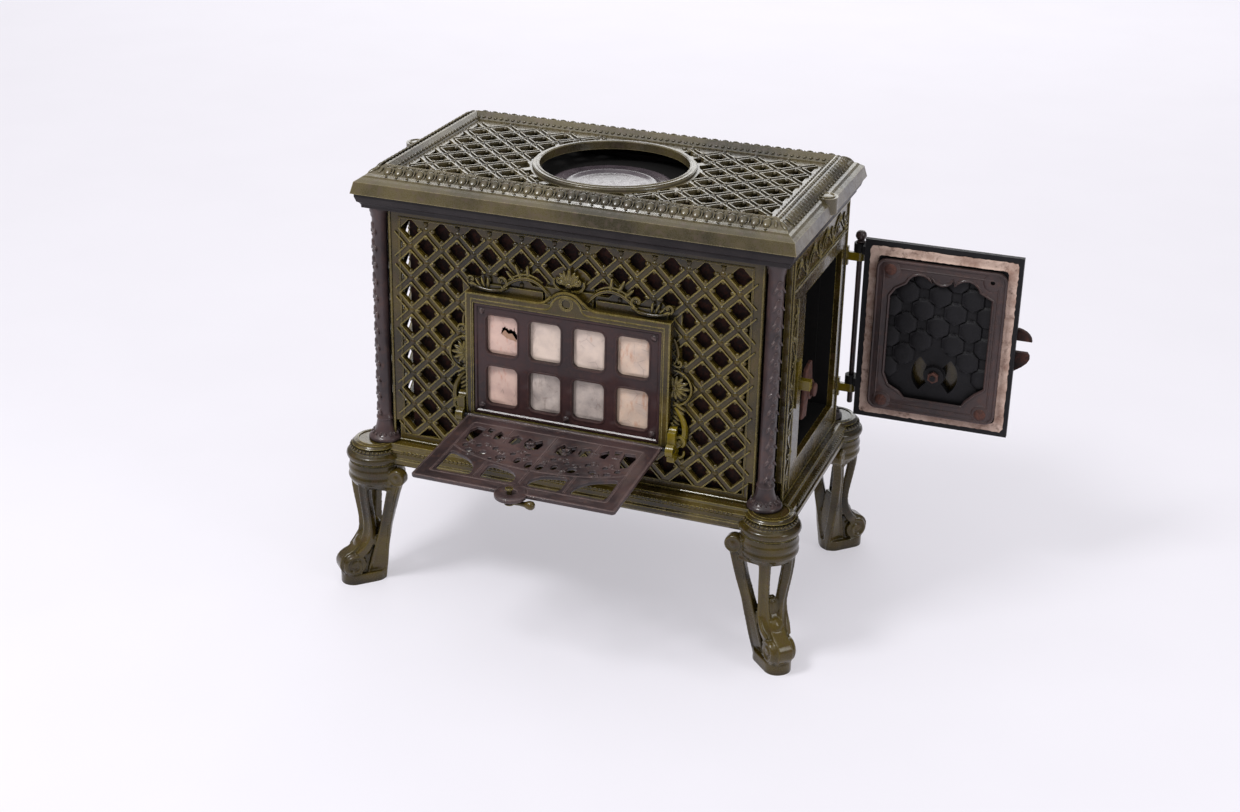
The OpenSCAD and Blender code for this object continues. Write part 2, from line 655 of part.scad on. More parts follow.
base_frame();
bottom_plate();
leg(-1, -1);  // leg_front_left
leg(1, -1);  // leg_front_right
leg(-1, 1);  // leg_rear_left
leg(1, 1);  // leg_rear_right
leg_bolts();
corner_column(-1, -1);  // column_front_left
corner_column(1, -1);  // column_front_right
corner_column(-1, 1);  // column_rear_left
corner_column(1, 1);  // column_rear_right
front_panel();
rear_panel();
left_panel();
right_panel();
cornice();
top_plate();
hot_plate();
hot_plate_lid();
firebox_front();
firebox_rear();
firebox_left();
firebox_right();
door_throat();
firebricks();
flue_collar();
tie_rods();
window_surround();
mica_frame();
mica_retainer();
mica_screws();
mica_sheet(1);  // mica_sheet_1
mica_sheet(2);  // mica_sheet_2
mica_sheet(3);  // mica_sheet_3
mica_sheet(4);  // mica_sheet_4
mica_sheet(5);  // mica_sheet_5
mica_sheet(6);  // mica_sheet_6
mica_sheet(7);  // mica_sheet_7
mica_sheet(8);  // mica_sheet_8
flap_lug(-1);  // flap_lug_left
flap_lug(1);  // flap_lug_right
flap_grille();
flap_pins();
flap_button();
hinge_lug(479);  // door_lug_upper
hinge_lug(278);  // door_lug_lower
latch_keeper();
door_plate();
door_seal();
door_liner();
door_liner_screws();
hinge_rod();
air_register();
register_nut();
door_latch();
latch_pin();
grate_frame();
grate_bearings();
shaker_grate();
shaker_shaft();
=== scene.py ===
"""Looks of an enamelled cast-iron parlour stove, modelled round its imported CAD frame.

Everything is drawn in millimetres in the frame of the part (origin on the floor under the
centre, +Z up, front towards -Y) and turned to metres when a piece is finished.
"""
import logging
import random
from dataclasses import dataclass, field
from enum import Enum
from math import atan2, cos, hypot, pi, radians, sin
from typing import Callable, Iterable, Optional, Sequence

import bmesh
import bpy
from mathutils import Matrix, Vector


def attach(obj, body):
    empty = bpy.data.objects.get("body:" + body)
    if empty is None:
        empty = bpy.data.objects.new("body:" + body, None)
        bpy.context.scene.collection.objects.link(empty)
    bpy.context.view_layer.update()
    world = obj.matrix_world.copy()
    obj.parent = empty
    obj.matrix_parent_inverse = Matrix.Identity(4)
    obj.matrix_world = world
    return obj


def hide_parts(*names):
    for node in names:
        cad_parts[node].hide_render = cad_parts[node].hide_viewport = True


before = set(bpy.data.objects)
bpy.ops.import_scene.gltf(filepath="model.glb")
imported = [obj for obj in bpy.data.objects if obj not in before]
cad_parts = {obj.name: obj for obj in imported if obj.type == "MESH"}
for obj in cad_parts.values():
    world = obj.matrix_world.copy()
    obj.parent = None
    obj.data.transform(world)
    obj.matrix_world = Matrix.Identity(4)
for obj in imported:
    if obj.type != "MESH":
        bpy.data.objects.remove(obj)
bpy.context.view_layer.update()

LOG = logging.getLogger("stove")
MM = 0.001
Point = Sequence[float]
Outline = list[tuple[float, float]]


class Body(Enum):
    """The moving bodies of the stove."""

    STOVE = "stove"
    LID = "lid"
    FLAP = "flap"
    BUTTON = "button"
    DOOR = "door"
    REGISTER = "register"
    GRATE = "grate"


class Slot(Enum):
    """The material slots that the record names."""

    OLIVE = "olive_enamel"
    VIOLET = "violet_enamel"
    BLACK = "black_iron"
    BURNT = "burnt_iron"
    FIRECLAY = "fireclay"
    CEMENT = "furnace_cement"
    MICA = "mica"


# ---------------------------------------------------------------- geometry helpers


def bezier(points: Sequence[Point], steps: int) -> list[tuple[float, float]]:
    """Samples a cubic curve in the plane.

    Args:
        points: The four control points.
        steps: The number of spans.

    Returns:
        steps + 1 points, both ends included.
    """
    found = []
    for k in range(steps + 1):
        t = k / steps
        s = 1 - t
        weights = (s ** 3, 3 * s * s * t, 3 * s * t * t, t ** 3)
        found.append(tuple(sum(w * p[i] for w, p in zip(weights, points)) for i in (0, 1)))
    return found


def arc(centre: Point, radius: float, start: float, end: float, steps: int) -> Outline:
    """Samples a circular arc; angles in degrees.

    Args:
        centre: The centre in the plane.
        radius: The radius.
        start: The first angle.
        end: The last angle.
        steps: The number of spans.

    Returns:
        steps + 1 points, both ends included.
    """
    return [(centre[0] + radius * cos(radians(start + (end - start) * k / steps)),
             centre[1] + radius * sin(radians(start + (end - start) * k / steps)))
            for k in range(steps + 1)]


def rounded(cx: float, cy: float, w: float, h: float, r: float, steps: int = 5) -> Outline:
    """The outline of a rectangle with rounded corners, anticlockwise."""
    found: Outline = []
    for k, (sx, sy) in enumerate(((1, 1), (-1, 1), (-1, -1), (1, -1))):
        found += arc((cx + sx * (w / 2 - r), cy + sy * (h / 2 - r)), r, 90 * k, 90 * k + 90, steps)
    return found


def spiral(centre: Point, r0: float, r1: float, start: float, turn: float, steps: int) -> Outline:
    """A spiral from radius r0 to r1, beginning at angle start and turning by turn degrees."""
    found: Outline = []
    for k in range(steps + 1):
        t = k / steps
        r = r0 + (r1 - r0) * t
        a = radians(start + turn * t)
        found.append((centre[0] + r * cos(a), centre[1] + r * sin(a)))
    return found


def flowing(points: Sequence[Point], steps: int) -> list[tuple[float, ...]]:
    """A smooth run of stations through the given ones.

    Args:
        points: The stations, each with any number of values.
        steps: The number of spans between two stations.

    Returns:
        The denser run, both ends included.
    """
    found = []
    last = len(points) - 1
    for k in range(last):
        a, b, c, d = (points[max(k - 1, 0)], points[k], points[k + 1], points[min(k + 2, last)])
        for i in range(steps):
            t = i / steps
            found.append(tuple(
                0.5 * (2 * q + (r - p) * t + (2 * p - 5 * q + 4 * r - s) * t * t
                       + (3 * q - p - 3 * r + s) * t ** 3) for p, q, r, s in zip(a, b, c, d)))
    found.append(tuple(points[-1]))
    return found


def face_at(origin: Point, u: Point, v: Point) -> Matrix:
    """The placing of a flat panel: its own x along u, its y along v and its z outwards."""
    a, b = Vector(u).normalized(), Vector(v).normalized()
    c = a.cross(b)
    m = Matrix.Identity(4)
    for k, axis in enumerate((a, b, c)):
        for i in range(3):
            m[i][k] = axis[i]
    return Matrix.Translation(Vector(origin)) @ m


def turned(axis: str, degrees: float) -> Matrix:
    """A turn about one of the frame's axes."""
    return Matrix.Rotation(radians(degrees), 4, axis)


def shifted(x: float, y: float, z: float) -> Matrix:
    """A plain shift."""
    return Matrix.Translation((x, y, z))


def stretched(x: float, y: float, z: float) -> Matrix:
    """A stretch along the three axes."""
    return Matrix.Diagonal((x, y, z, 1.0))


class Shape:
    """A mesh under construction, in millimetres."""

    def __init__(self) -> None:
        """Starts empty."""
        self.bm = bmesh.new()

    def block(self, lo: Point, hi: Point, at: Matrix = Matrix.Identity(4)) -> "Shape":
        """Adds a block between two corners."""
        lo_v, hi_v = Vector(lo), Vector(hi)
        size = hi_v - lo_v
        place = at @ Matrix.Translation((lo_v + hi_v) / 2) @ stretched(size.x, size.y, size.z)
        bmesh.ops.create_cube(self.bm, size=1.0, matrix=place)
        return self

    def drum(self, at: Matrix, r0: float, r1: float, height: float, sides: int = 24) -> "Shape":
        """Adds a drum or cone that stands on the origin of its placing, along its z."""
        bmesh.ops.create_cone(self.bm, cap_ends=True, cap_tris=False, segments=sides, radius1=r0,
                              radius2=r1, depth=height, matrix=at @ shifted(0, 0, height / 2))
        return self

    def ball(self, at: Matrix, radii: Point, around: int = 12, rings: int = 8) -> "Shape":
        """Adds an ellipsoid centred on the origin of its placing."""
        bmesh.ops.create_uvsphere(self.bm, u_segments=around, v_segments=rings, radius=1.0,
                                  matrix=at @ stretched(*radii))
        return self

    def sheet(self, outline: Iterable[Point], low: float, high: float,
              at: Matrix = Matrix.Identity(4)) -> "Shape":
        """Adds a plate of the given outline between two levels of its placing.

        Args:
            outline: The points in the plane.
            low: The lower level.
            high: The upper level.
            at: The placing.

        Returns:
            The shape itself.
        """
        verts = [self.bm.verts.new(at @ Vector((p[0], p[1], low))) for p in outline]
        base = self.bm.faces.new(verts)
        grown = bmesh.ops.extrude_face_region(self.bm, geom=[base])
        moved = [g for g in grown["geom"] if isinstance(g, bmesh.types.BMVert)]
        rise = (at.to_3x3() @ Vector((0, 0, 1))) * (high - low)
        bmesh.ops.translate(self.bm, verts=moved, vec=rise)
        return self

    def lathe(self, profile: Iterable[Point], at: Matrix, steps: int = 32) -> "Shape":
        """Spins a profile of [radius, height] right round the z axis of its placing."""
        work = bmesh.new()
        verts = [work.verts.new((p[0], 0, p[1])) for p in profile]
        edges = [work.edges.new(pair) for pair in zip(verts, verts[1:])]
        bmesh.ops.spin(work, geom=verts + edges, cent=(0, 0, 0), axis=(0, 0, 1), angle=2 * pi,
                       steps=steps, use_merge=True)
        bmesh.ops.remove_doubles(work, verts=work.verts[:], dist=0.001)
        turned_part = bpy.data.meshes.new("turned")
        work.to_mesh(turned_part)
        work.free()
        self.stamp(turned_part, at)
        bpy.data.meshes.remove(turned_part)
        return self

    def moulding(self, half: Point, steps: Sequence[Point], at: Matrix,
                 opening: bool = True) -> "Shape":
        """Adds a mitred rectangular moulding, worked inwards from its outer edge.

        Args:
            half: Half the width and half the height of the outer edge.
            steps: Pairs of distance inwards and rise, one for each inset.
            at: The placing of its centre.
            opening: Whether the middle is left open.

        Returns:
            The shape itself.
        """
        made = bmesh.ops.create_grid(self.bm, x_segments=1, y_segments=1, size=1.0,
                                     matrix=at @ stretched(half[0], half[1], 1))
        centre = made["verts"][0].link_faces[0]
        for inward, rise in steps:
            bmesh.ops.inset_region(self.bm, faces=[centre], thickness=max(inward, 0.01),
                                   depth=rise, use_even_offset=True, use_boundary=True)
        if opening:
            bmesh.ops.delete(self.bm, geom=[centre], context="FACES_ONLY")
        return self

    def stamp(self, mesh: bpy.types.Mesh, at: Matrix) -> "Shape":
        """Adds a copy of a finished pattern at a placing."""
        copy = mesh.copy()
        copy.transform(at)
        if at.determinant() < 0:
            copy.flip_normals()
        self.bm.from_mesh(copy)
        bpy.data.meshes.remove(copy)
        return self

    def soften(self, width: float, segments: int = 2, limit: float = 40) -> "Shape":
        """Bevels every edge sharper than limit degrees."""
        bmesh.ops.remove_doubles(self.bm, verts=self.bm.verts[:], dist=0.001)
        bmesh.ops.recalc_face_normals(self.bm, faces=self.bm.faces[:])
        sharp = [e for e in self.bm.edges
                 if len(e.link_faces) == 2 and e.calc_face_angle(0) > radians(limit)]
        bmesh.ops.bevel(self.bm, geom=sharp, offset=width, offset_type="OFFSET",
                        segments=segments, profile=0.5, affect="EDGES", material=-1)
        return self

    def ribbon(self, rows: Sequence[Point], depth: float, bead: float) -> "Shape":
        """Adds a bar with a raised bead along both edges.

        Args:
            rows: For each station x, y, z, the width and the turn of its face from -Y in degrees.
            depth: The depth behind the face.
            bead: The rise of the beads.

        Returns:
            The shape itself.
        """
        work = bmesh.new()
        previous: list[bmesh.types.BMEdge] = []
        for k, (x, y, z, width, turn) in enumerate(rows):
            ahead = Vector(rows[min(k + 1, len(rows) - 1)][:3]) - Vector(rows[max(k - 1, 0)][:3])
            across = Vector((cos(radians(turn)), -sin(radians(turn)), 0))
            if abs(ahead.normalized().z) < 0.5:
                across = Vector((0, 0, 1))
            outward = across.cross(ahead).normalized()
            if outward.y > 0:
                outward.negate()
            half = width / 2
            section = [(-half, -depth), (half, -depth), (half, 0.6), (half - 1.4, bead),
                       (half - 3.2, bead), (half - 4.8, 0), (4.8 - half, 0), (3.2 - half, bead),
                       (1.4 - half, bead), (-half, 0.6)]
            ring = [work.verts.new(Vector((x, y, z)) + across * a + outward * b)
                    for a, b in section]
            edges = [work.edges.new(pair) for pair in zip(ring, ring[1:] + ring[:1])]
            if previous:
                bmesh.ops.bridge_loops(work, edges=previous + edges)
            if k in (0, len(rows) - 1):
                work.faces.new(ring)
            previous = edges
        bmesh.ops.recalc_face_normals(work, faces=work.faces[:])
        bar = bpy.data.meshes.new("bar")
        work.to_mesh(bar)
        work.free()
        self.bm.from_mesh(bar)
        bpy.data.meshes.remove(bar)
        return self

    def warp(self, rule: Callable[[Vector], Vector]) -> "Shape":
        """Moves every vertex by a rule."""
        for vert in self.bm.verts:
            vert.co = rule(vert.co)
        return self

    def moved(self, at: Matrix) -> "Shape":
        """Places the whole shape."""
        bmesh.ops.transform(self.bm, matrix=at, verts=self.bm.verts[:])
        if at.determinant() < 0:
            bmesh.ops.reverse_faces(self.bm, faces=self.bm.faces[:])
        return self

    def mesh(self, name: str) -> bpy.types.Mesh:
        """Closes the shape as a pattern for stamping, still in millimetres."""
        made = bpy.data.meshes.new(name)
        self.bm.to_mesh(made)
        self.bm.free()
        return made


def as_mesh(data: bpy.types.ID, modifiers: Sequence[tuple[str, dict]] = ()) -> bpy.types.Mesh:
    """Turns a curve, or a mesh with modifiers, into a plain mesh.

    Args:
        data: The curve or mesh.
        modifiers: The kind and settings of each modifier, in order.

    Returns:
        A new mesh with everything applied.
    """
    holder = bpy.data.objects.new("worker", data)
    bpy.context.scene.collection.objects.link(holder)
    for kind, settings in modifiers:
        modifier = holder.modifiers.new(kind.lower(), kind)
        for key, value in settings.items():
            setattr(modifier, key, value)
    graph = bpy.context.evaluated_depsgraph_get()
    made = bpy.data.meshes.new_from_object(holder.evaluated_get(graph))
    bpy.data.objects.remove(holder)
    return made


def tube(points: Sequence[Point], radius: float, taper: Sequence[float] = (1, 1),
         sides: int = 2, closed: bool = False) -> bpy.types.Mesh:
    """A round bar along a line of points.

    Args:
        points: The points that the bar follows, in two or three dimensions.
        radius: The bar's radius.
        taper: The share of the radius along the bar, spread evenly over its length.
        sides: The roundness, as the resolution of the curve's bevel.
        closed: Whether the bar closes on itself.

    Returns:
        The bar as a mesh.
    """
    curve = bpy.data.curves.new("bar", "CURVE")
    curve.dimensions = "3D"
    curve.bevel_depth = radius
    curve.bevel_resolution = sides
    curve.use_fill_caps = not closed
    line = curve.splines.new("POLY")
    line.points.add(len(points) - 1)
    for k, p in enumerate(points):
        place = k / max(len(points) - 1, 1) * (len(taper) - 1)
        low = min(int(place), len(taper) - 2)
        share = taper[low] + (taper[low + 1] - taper[low]) * (place - low)
        line.points[k].co = (p[0], p[1], p[2] if len(p) > 2 else 0, 1)
        line.points[k].radius = share
    line.use_cyclic_u = closed
    made = as_mesh(curve)
    bpy.data.curves.remove(curve)
    return made


def pierced(outer: Outline, holes: Iterable[Outline], thickness: float,
            edge: float = 0.6) -> bpy.types.Mesh:
    """A plate with holes and rounded edges, its middle level at zero.

    Args:
        outer: The outline.
        holes: The outline of each hole.
        thickness: The whole thickness.
        edge: The radius of the rounded edges.

    Returns:
        The plate as a mesh.
    """
    curve = bpy.data.curves.new("plate", "CURVE")
    curve.dimensions = "2D"
    curve.fill_mode = "BOTH"
    curve.extrude = thickness / 2 - edge
    curve.bevel_depth = edge
    curve.bevel_resolution = 2
    curve.offset = -edge
    for outline in [outer, *holes]:
        line = curve.splines.new("POLY")
        line.points.add(len(outline) - 1)
        for k, p in enumerate(outline):
            line.points[k].co = (p[0], p[1], 0, 1)
        line.use_cyclic_u = True
    made = as_mesh(curve)
    bpy.data.curves.remove(curve)
    return made


def cast(shape: Shape, grain: float, smoothing: int) -> bpy.types.Mesh:
    """Fuses a heap of overlapping shapes into one casting with soft fillets.

    Args:
        shape: The overlapping closed shapes.
        grain: The size of the finest feature that stays.
        smoothing: The rounds of smoothing.

    Returns:
        The casting as a mesh, in millimetres.
    """
    bmesh.ops.recalc_face_normals(shape.bm, faces=shape.bm.faces[:])
    raw = shape.mesh("raw")
    return as_mesh(raw, [("REMESH", {"mode": "VOXEL", "voxel_size": grain, "adaptivity": 0.0}),
                         ("SMOOTH", {"factor": 0.5, "iterations": smoothing})])


# ---------------------------------------------------------------- finishes


def tint(r: float, g: float, b: float) -> tuple[float, float, float, float]:
    """Turns a colour on the 0 to 255 screen scale into the linear one."""
    return tuple((c / 255 / 12.92 if c <= 10.3 else ((c / 255 + 0.055) / 1.055) ** 2.4)
                 for c in (r, g, b)) + (1.0,)


class Recipe:
    """The node tree of one finish."""

    def __init__(self, name: str) -> None:
        """Starts with a principled shader and object coordinates."""
        self.material = bpy.data.materials.new(name)
        self.material.use_nodes = True
        self.tree = self.material.node_tree
        self.shader = self.tree.nodes["Principled BSDF"]
        self.place = self.tree.nodes.new("ShaderNodeTexCoord").outputs["Object"]

    def node(self, kind: str, **settings: object) -> bpy.types.Node:
        """Adds a node and sets its properties."""
        made = self.tree.nodes.new(kind)
        for key, value in settings.items():
            setattr(made, key, value)
        return made

    def feed(self, socket: bpy.types.NodeSocket, source: object) -> None:
        """Links a source to a socket, or sets the socket's own value."""
        if isinstance(source, bpy.types.NodeSocket):
            self.tree.links.new(source, socket)
        else:
            socket.default_value = source

    def noise(self, size: float, detail: float = 4, rough: float = 0.6,
              stretch: Point = (1, 1, 1)) -> bpy.types.NodeSocket:
        """Cloudy noise whose features are about size millimetres across."""
        mapping = self.node("ShaderNodeMapping")
        self.feed(mapping.inputs["Vector"], self.place)
        mapping.inputs["Scale"].default_value = stretch
        made = self.node("ShaderNodeTexNoise")
        self.feed(made.inputs["Vector"], mapping.outputs["Vector"])
        made.inputs["Scale"].default_value = 1000.0 / size
        made.inputs["Detail"].default_value = detail
        made.inputs["Roughness"].default_value = rough
        return made.outputs["Fac"]

    def cells(self, size: float, feature: str = "F1") -> bpy.types.NodeSocket:
        """Distance in a pattern of cells about size millimetres across."""
        made = self.node("ShaderNodeTexVoronoi", feature=feature)
        self.feed(made.inputs["Vector"], self.place)
        made.inputs["Scale"].default_value = 1000.0 / size
        return made.outputs["Distance"]

    def band(self, source: bpy.types.NodeSocket, low: float, high: float,
             to: Point = (0.0, 1.0)) -> bpy.types.NodeSocket:
        """Rescales a value from low..high to a new range, clamped."""
        made = self.node("ShaderNodeMapRange")
        self.feed(made.inputs["Value"], source)
        for key, value in (("From Min", low), ("From Max", high), ("To Min", to[0]),
                           ("To Max", to[1])):
            made.inputs[key].default_value = value
        return made.outputs["Result"]

    def maths(self, how: str, a: object, b: object) -> bpy.types.NodeSocket:
        """One sum of two values."""
        made = self.node("ShaderNodeMath", operation=how)
        self.feed(made.inputs[0], a)
        self.feed(made.inputs[1], b)
        return made.outputs[0]

    def mix(self, share: object, a: object, b: object, how: str = "MIX") -> bpy.types.NodeSocket:
        """Blends two colours by a share."""
        made = self.node("ShaderNodeMix", data_type="RGBA", blend_type=how)
        self.feed(made.inputs[0], share)
        self.feed(made.inputs[6], a)
        self.feed(made.inputs[7], b)
        return made.outputs[2]

    def hollows(self, reach: float) -> bpy.types.NodeSocket:
        """An occlusion mask, used to paint shade: 0 deep in the hollows and 1 in the open, within reach
        millimetres.
        """
        made = self.node("ShaderNodeAmbientOcclusion", samples=4, only_local=False)
        made.inputs["Distance"].default_value = reach * MM
        return made.outputs["AO"]

    def edges(self, reach: float) -> bpy.types.NodeSocket:
        """1 along edges and ridges, 0 on flat ground, within reach millimetres."""
        soft = self.node("ShaderNodeBevel", samples=4)
        soft.inputs["Radius"].default_value = reach * MM
        plain = self.node("ShaderNodeNewGeometry")
        dot = self.node("ShaderNodeVectorMath", operation="DOT_PRODUCT")
        self.feed(dot.inputs[0], soft.outputs["Normal"])
        self.feed(dot.inputs[1], plain.outputs["Normal"])
        return self.band(dot.outputs["Value"], 0.995, 0.86)

    def bump(self, height: bpy.types.NodeSocket, deep: float, strength: float = 1.0,
             under: Optional[bpy.types.NodeSocket] = None) -> bpy.types.NodeSocket:
        """Raises the surface by a height, deep millimetres from black to white."""
        made = self.node("ShaderNodeBump")
        self.feed(made.inputs["Height"], height)
        made.inputs["Distance"].default_value = deep * MM
        made.inputs["Strength"].default_value = strength
        if under is not None:
            self.feed(made.inputs["Normal"], under)
        return made.outputs["Normal"]

    def finish(self, colour: object, rough: object, normal: Optional[object] = None,
               **constants: float) -> bpy.types.Material:
        """Wires the shader up.

        Args:
            colour: The base colour.
            rough: The roughness.
            normal: The bumped normal.
            **constants: Plain values for the shader's other sockets, with _ for a space.

        Returns:
            The finished material.
        """
        self.feed(self.shader.inputs["Base Color"], colour)
        self.feed(self.shader.inputs["Roughness"], rough)
        if normal is not None:
            self.feed(self.shader.inputs["Normal"], normal)
        for key, value in constants.items():
            self.shader.inputs[key.replace("_", " ")].default_value = value
        return self.material


@dataclass(frozen=True)
class Enamel:
    """Vitreous enamel over cast iron: glossy, darker in the hollows by painted shade and thicker
    enamel, lighter on the edges by thin, worn enamel and a painted highlight.
    """

    name: str
    ground: Point
    dark_tone_and_shade: Point
    patch: Point
    # thin is the edge colour: thin, worn enamel together with a painted highlight.
    thin: Point
    gloss: float = 0.2
    edge_wear_and_highlight: float = 0.75
    pits: float = 0.5
    shine: float = 0.3

    def make(self) -> bpy.types.Material:
        """Builds the material."""
        r = Recipe(self.name)
        broad = r.noise(90, 3, 0.5)
        fine = r.noise(9, 5, 0.65)
        speck = r.noise(1.6, 3, 0.6)
        colour = r.mix(r.band(broad, 0.38, 0.62), tint(*self.ground), tint(*self.dark_tone_and_shade))
        colour = r.mix(r.band(fine, 0.5, 0.72, (0, 0.6)), colour, tint(*self.patch))
        # Lighter edges through an edge mask: thin, worn enamel together with a painted highlight.
        edge = r.maths("MULTIPLY", r.edges(1.3), r.band(fine, 0.3, 0.6, (0.45, 1)))
        colour = r.mix(r.maths("MULTIPLY", edge, self.edge_wear_and_highlight), colour, tint(*self.thin))
        # Painted shade: an occlusion mask darkens the hollows to 42 % of the dark tone; this also
        # stands for the enamel lying thicker there.
        deep = r.band(r.hollows(9), 0.35, 0.95, (0.85, 0))
        colour = r.mix(deep, colour, tint(*[c * 0.42 for c in self.dark_tone_and_shade]))
        rough = r.maths("ADD", r.band(speck, 0.35, 0.7, (self.gloss, self.gloss + 0.16)),
                        r.maths("MULTIPLY", r.band(fine, 0.45, 0.7), 0.16))
        normal = r.bump(r.noise(26, 2, 0.5), 0.8, 0.35)
        normal = r.bump(r.noise(3.2, 4, 0.6), 0.25, self.pits, normal)
        return r.finish(colour, rough, normal, Specular_IOR_Level=self.shine, Coat_Weight=0.3,
                        Coat_Roughness=0.07)


@dataclass(frozen=True)
class Iron:
    """Bare casting: black, burnt or rusty."""

    name: str
    ground: Point
    stain: Point
    rust: Point
    rust_share: float = 0.5
    gloss: float = 0.45
    grain: float = 0.6

    def make(self) -> bpy.types.Material:
        """Builds the material."""
        r = Recipe(self.name)
        broad = r.noise(45, 5, 0.6)
        fine = r.noise(6, 6, 0.7)
        grit = r.noise(1.1, 3, 0.7)
        colour = r.mix(r.band(broad, 0.35, 0.68), tint(*self.ground), tint(*self.stain))
        rusty = r.band(fine, 0.62 - 0.3 * self.rust_share, 0.78 - 0.2 * self.rust_share)
        colour = r.mix(r.maths("MULTIPLY", rusty, self.rust_share), colour, tint(*self.rust))
        colour = r.mix(r.maths("MULTIPLY", r.edges(1.0), 0.3), colour,
                       tint(*[min(255, c * 1.7 + 18) for c in self.ground]))
        # Painted shade: an occlusion mask darkens the hollows to near black.
        colour = r.mix(r.band(r.hollows(10), 0.35, 0.95, (0.75, 0)), colour, tint(9, 8, 8))
        rough = r.band(grit, 0.3, 0.7, (self.gloss, min(1.0, self.gloss + 0.3)))
        normal = r.bump(fine, 0.5, 0.5 * self.grain)
        normal = r.bump(grit, 0.22, self.grain, normal)
        return r.finish(colour, rough, normal, Metallic=0.1, Specular_IOR_Level=0.25)


@dataclass(frozen=True)
class Chalk:
    """Dry mineral stuff: furnace cement or firebrick."""

    name: str
    ground: Point
    stain: Point
    soot_and_shade: Point
    lumps: float = 1.0
    shade: float = 6

    def make(self) -> bpy.types.Material:
        """Builds the material."""
        r = Recipe(self.name)
        broad = r.noise(28, 5, 0.65)
        fine = r.noise(3.4, 5, 0.7)
        colour = r.mix(r.band(broad, 0.42, 0.66), tint(*self.ground), tint(*self.stain))
        colour = r.mix(r.band(r.noise(12, 6, 0.75), 0.55, 0.7, (0, 0.85)), colour, tint(*self.soot_and_shade))
        # Painted shade: an occlusion mask darkens the hollows, within shade millimetres, towards the
        # dark colour; on the cement seal it also gives the brown along the liner wall.
        colour = r.mix(r.band(r.hollows(self.shade), 0.5, 0.95, (0.85, 0)), colour,
                       tint(*self.soot_and_shade))
        normal = r.bump(broad, 1.6 * self.lumps, 0.6)
        normal = r.bump(fine, 0.7 * self.lumps, 0.8, normal)
        return r.finish(colour, r.band(fine, 0.3, 0.7, (0.75, 0.98)), normal)


@dataclass(frozen=True)
class Mica:
    """Clouded, flaking mica that years of fire have baked."""

    name: str
    ground: Point
    cloud: Point
    burn: Point
    burn_share: float = 0.3

    def make(self) -> bpy.types.Material:
        """Builds the material."""
        r = Recipe(self.name)
        cloud = r.noise(24, 4, 0.6)
        streak = r.noise(10, 6, 0.7, (1, 1, 0.35))
        flake = r.noise(6, 5, 0.75)
        colour = r.mix(r.band(cloud, 0.4, 0.68), tint(*self.ground), tint(*self.cloud))
        burnt = r.band(streak, 0.66 - 0.25 * self.burn_share, 0.8 - 0.15 * self.burn_share)
        colour = r.mix(r.maths("MULTIPLY", burnt, 0.9), colour, tint(*self.burn))
        vein = r.band(r.cells(17, "DISTANCE_TO_EDGE"), 0.0, 0.035, (0.45, 0))
        vein = r.maths("MULTIPLY", vein, r.band(cloud, 0.5, 0.6))
        colour = r.mix(vein, colour, tint(118, 92, 80))
        normal = r.bump(flake, 0.5, 0.5)
        normal = r.bump(cloud, 1.2, 0.4, normal)
        # Painted light: the sheets glow faintly in their ground colour.
        return r.finish(colour, r.band(flake, 0.35, 0.65, (0.28, 0.55)), normal, Coat_Weight=0.3,
                        Coat_Roughness=0.25, Emission_Color=tint(*self.ground),
                        Emission_Strength=0.06)


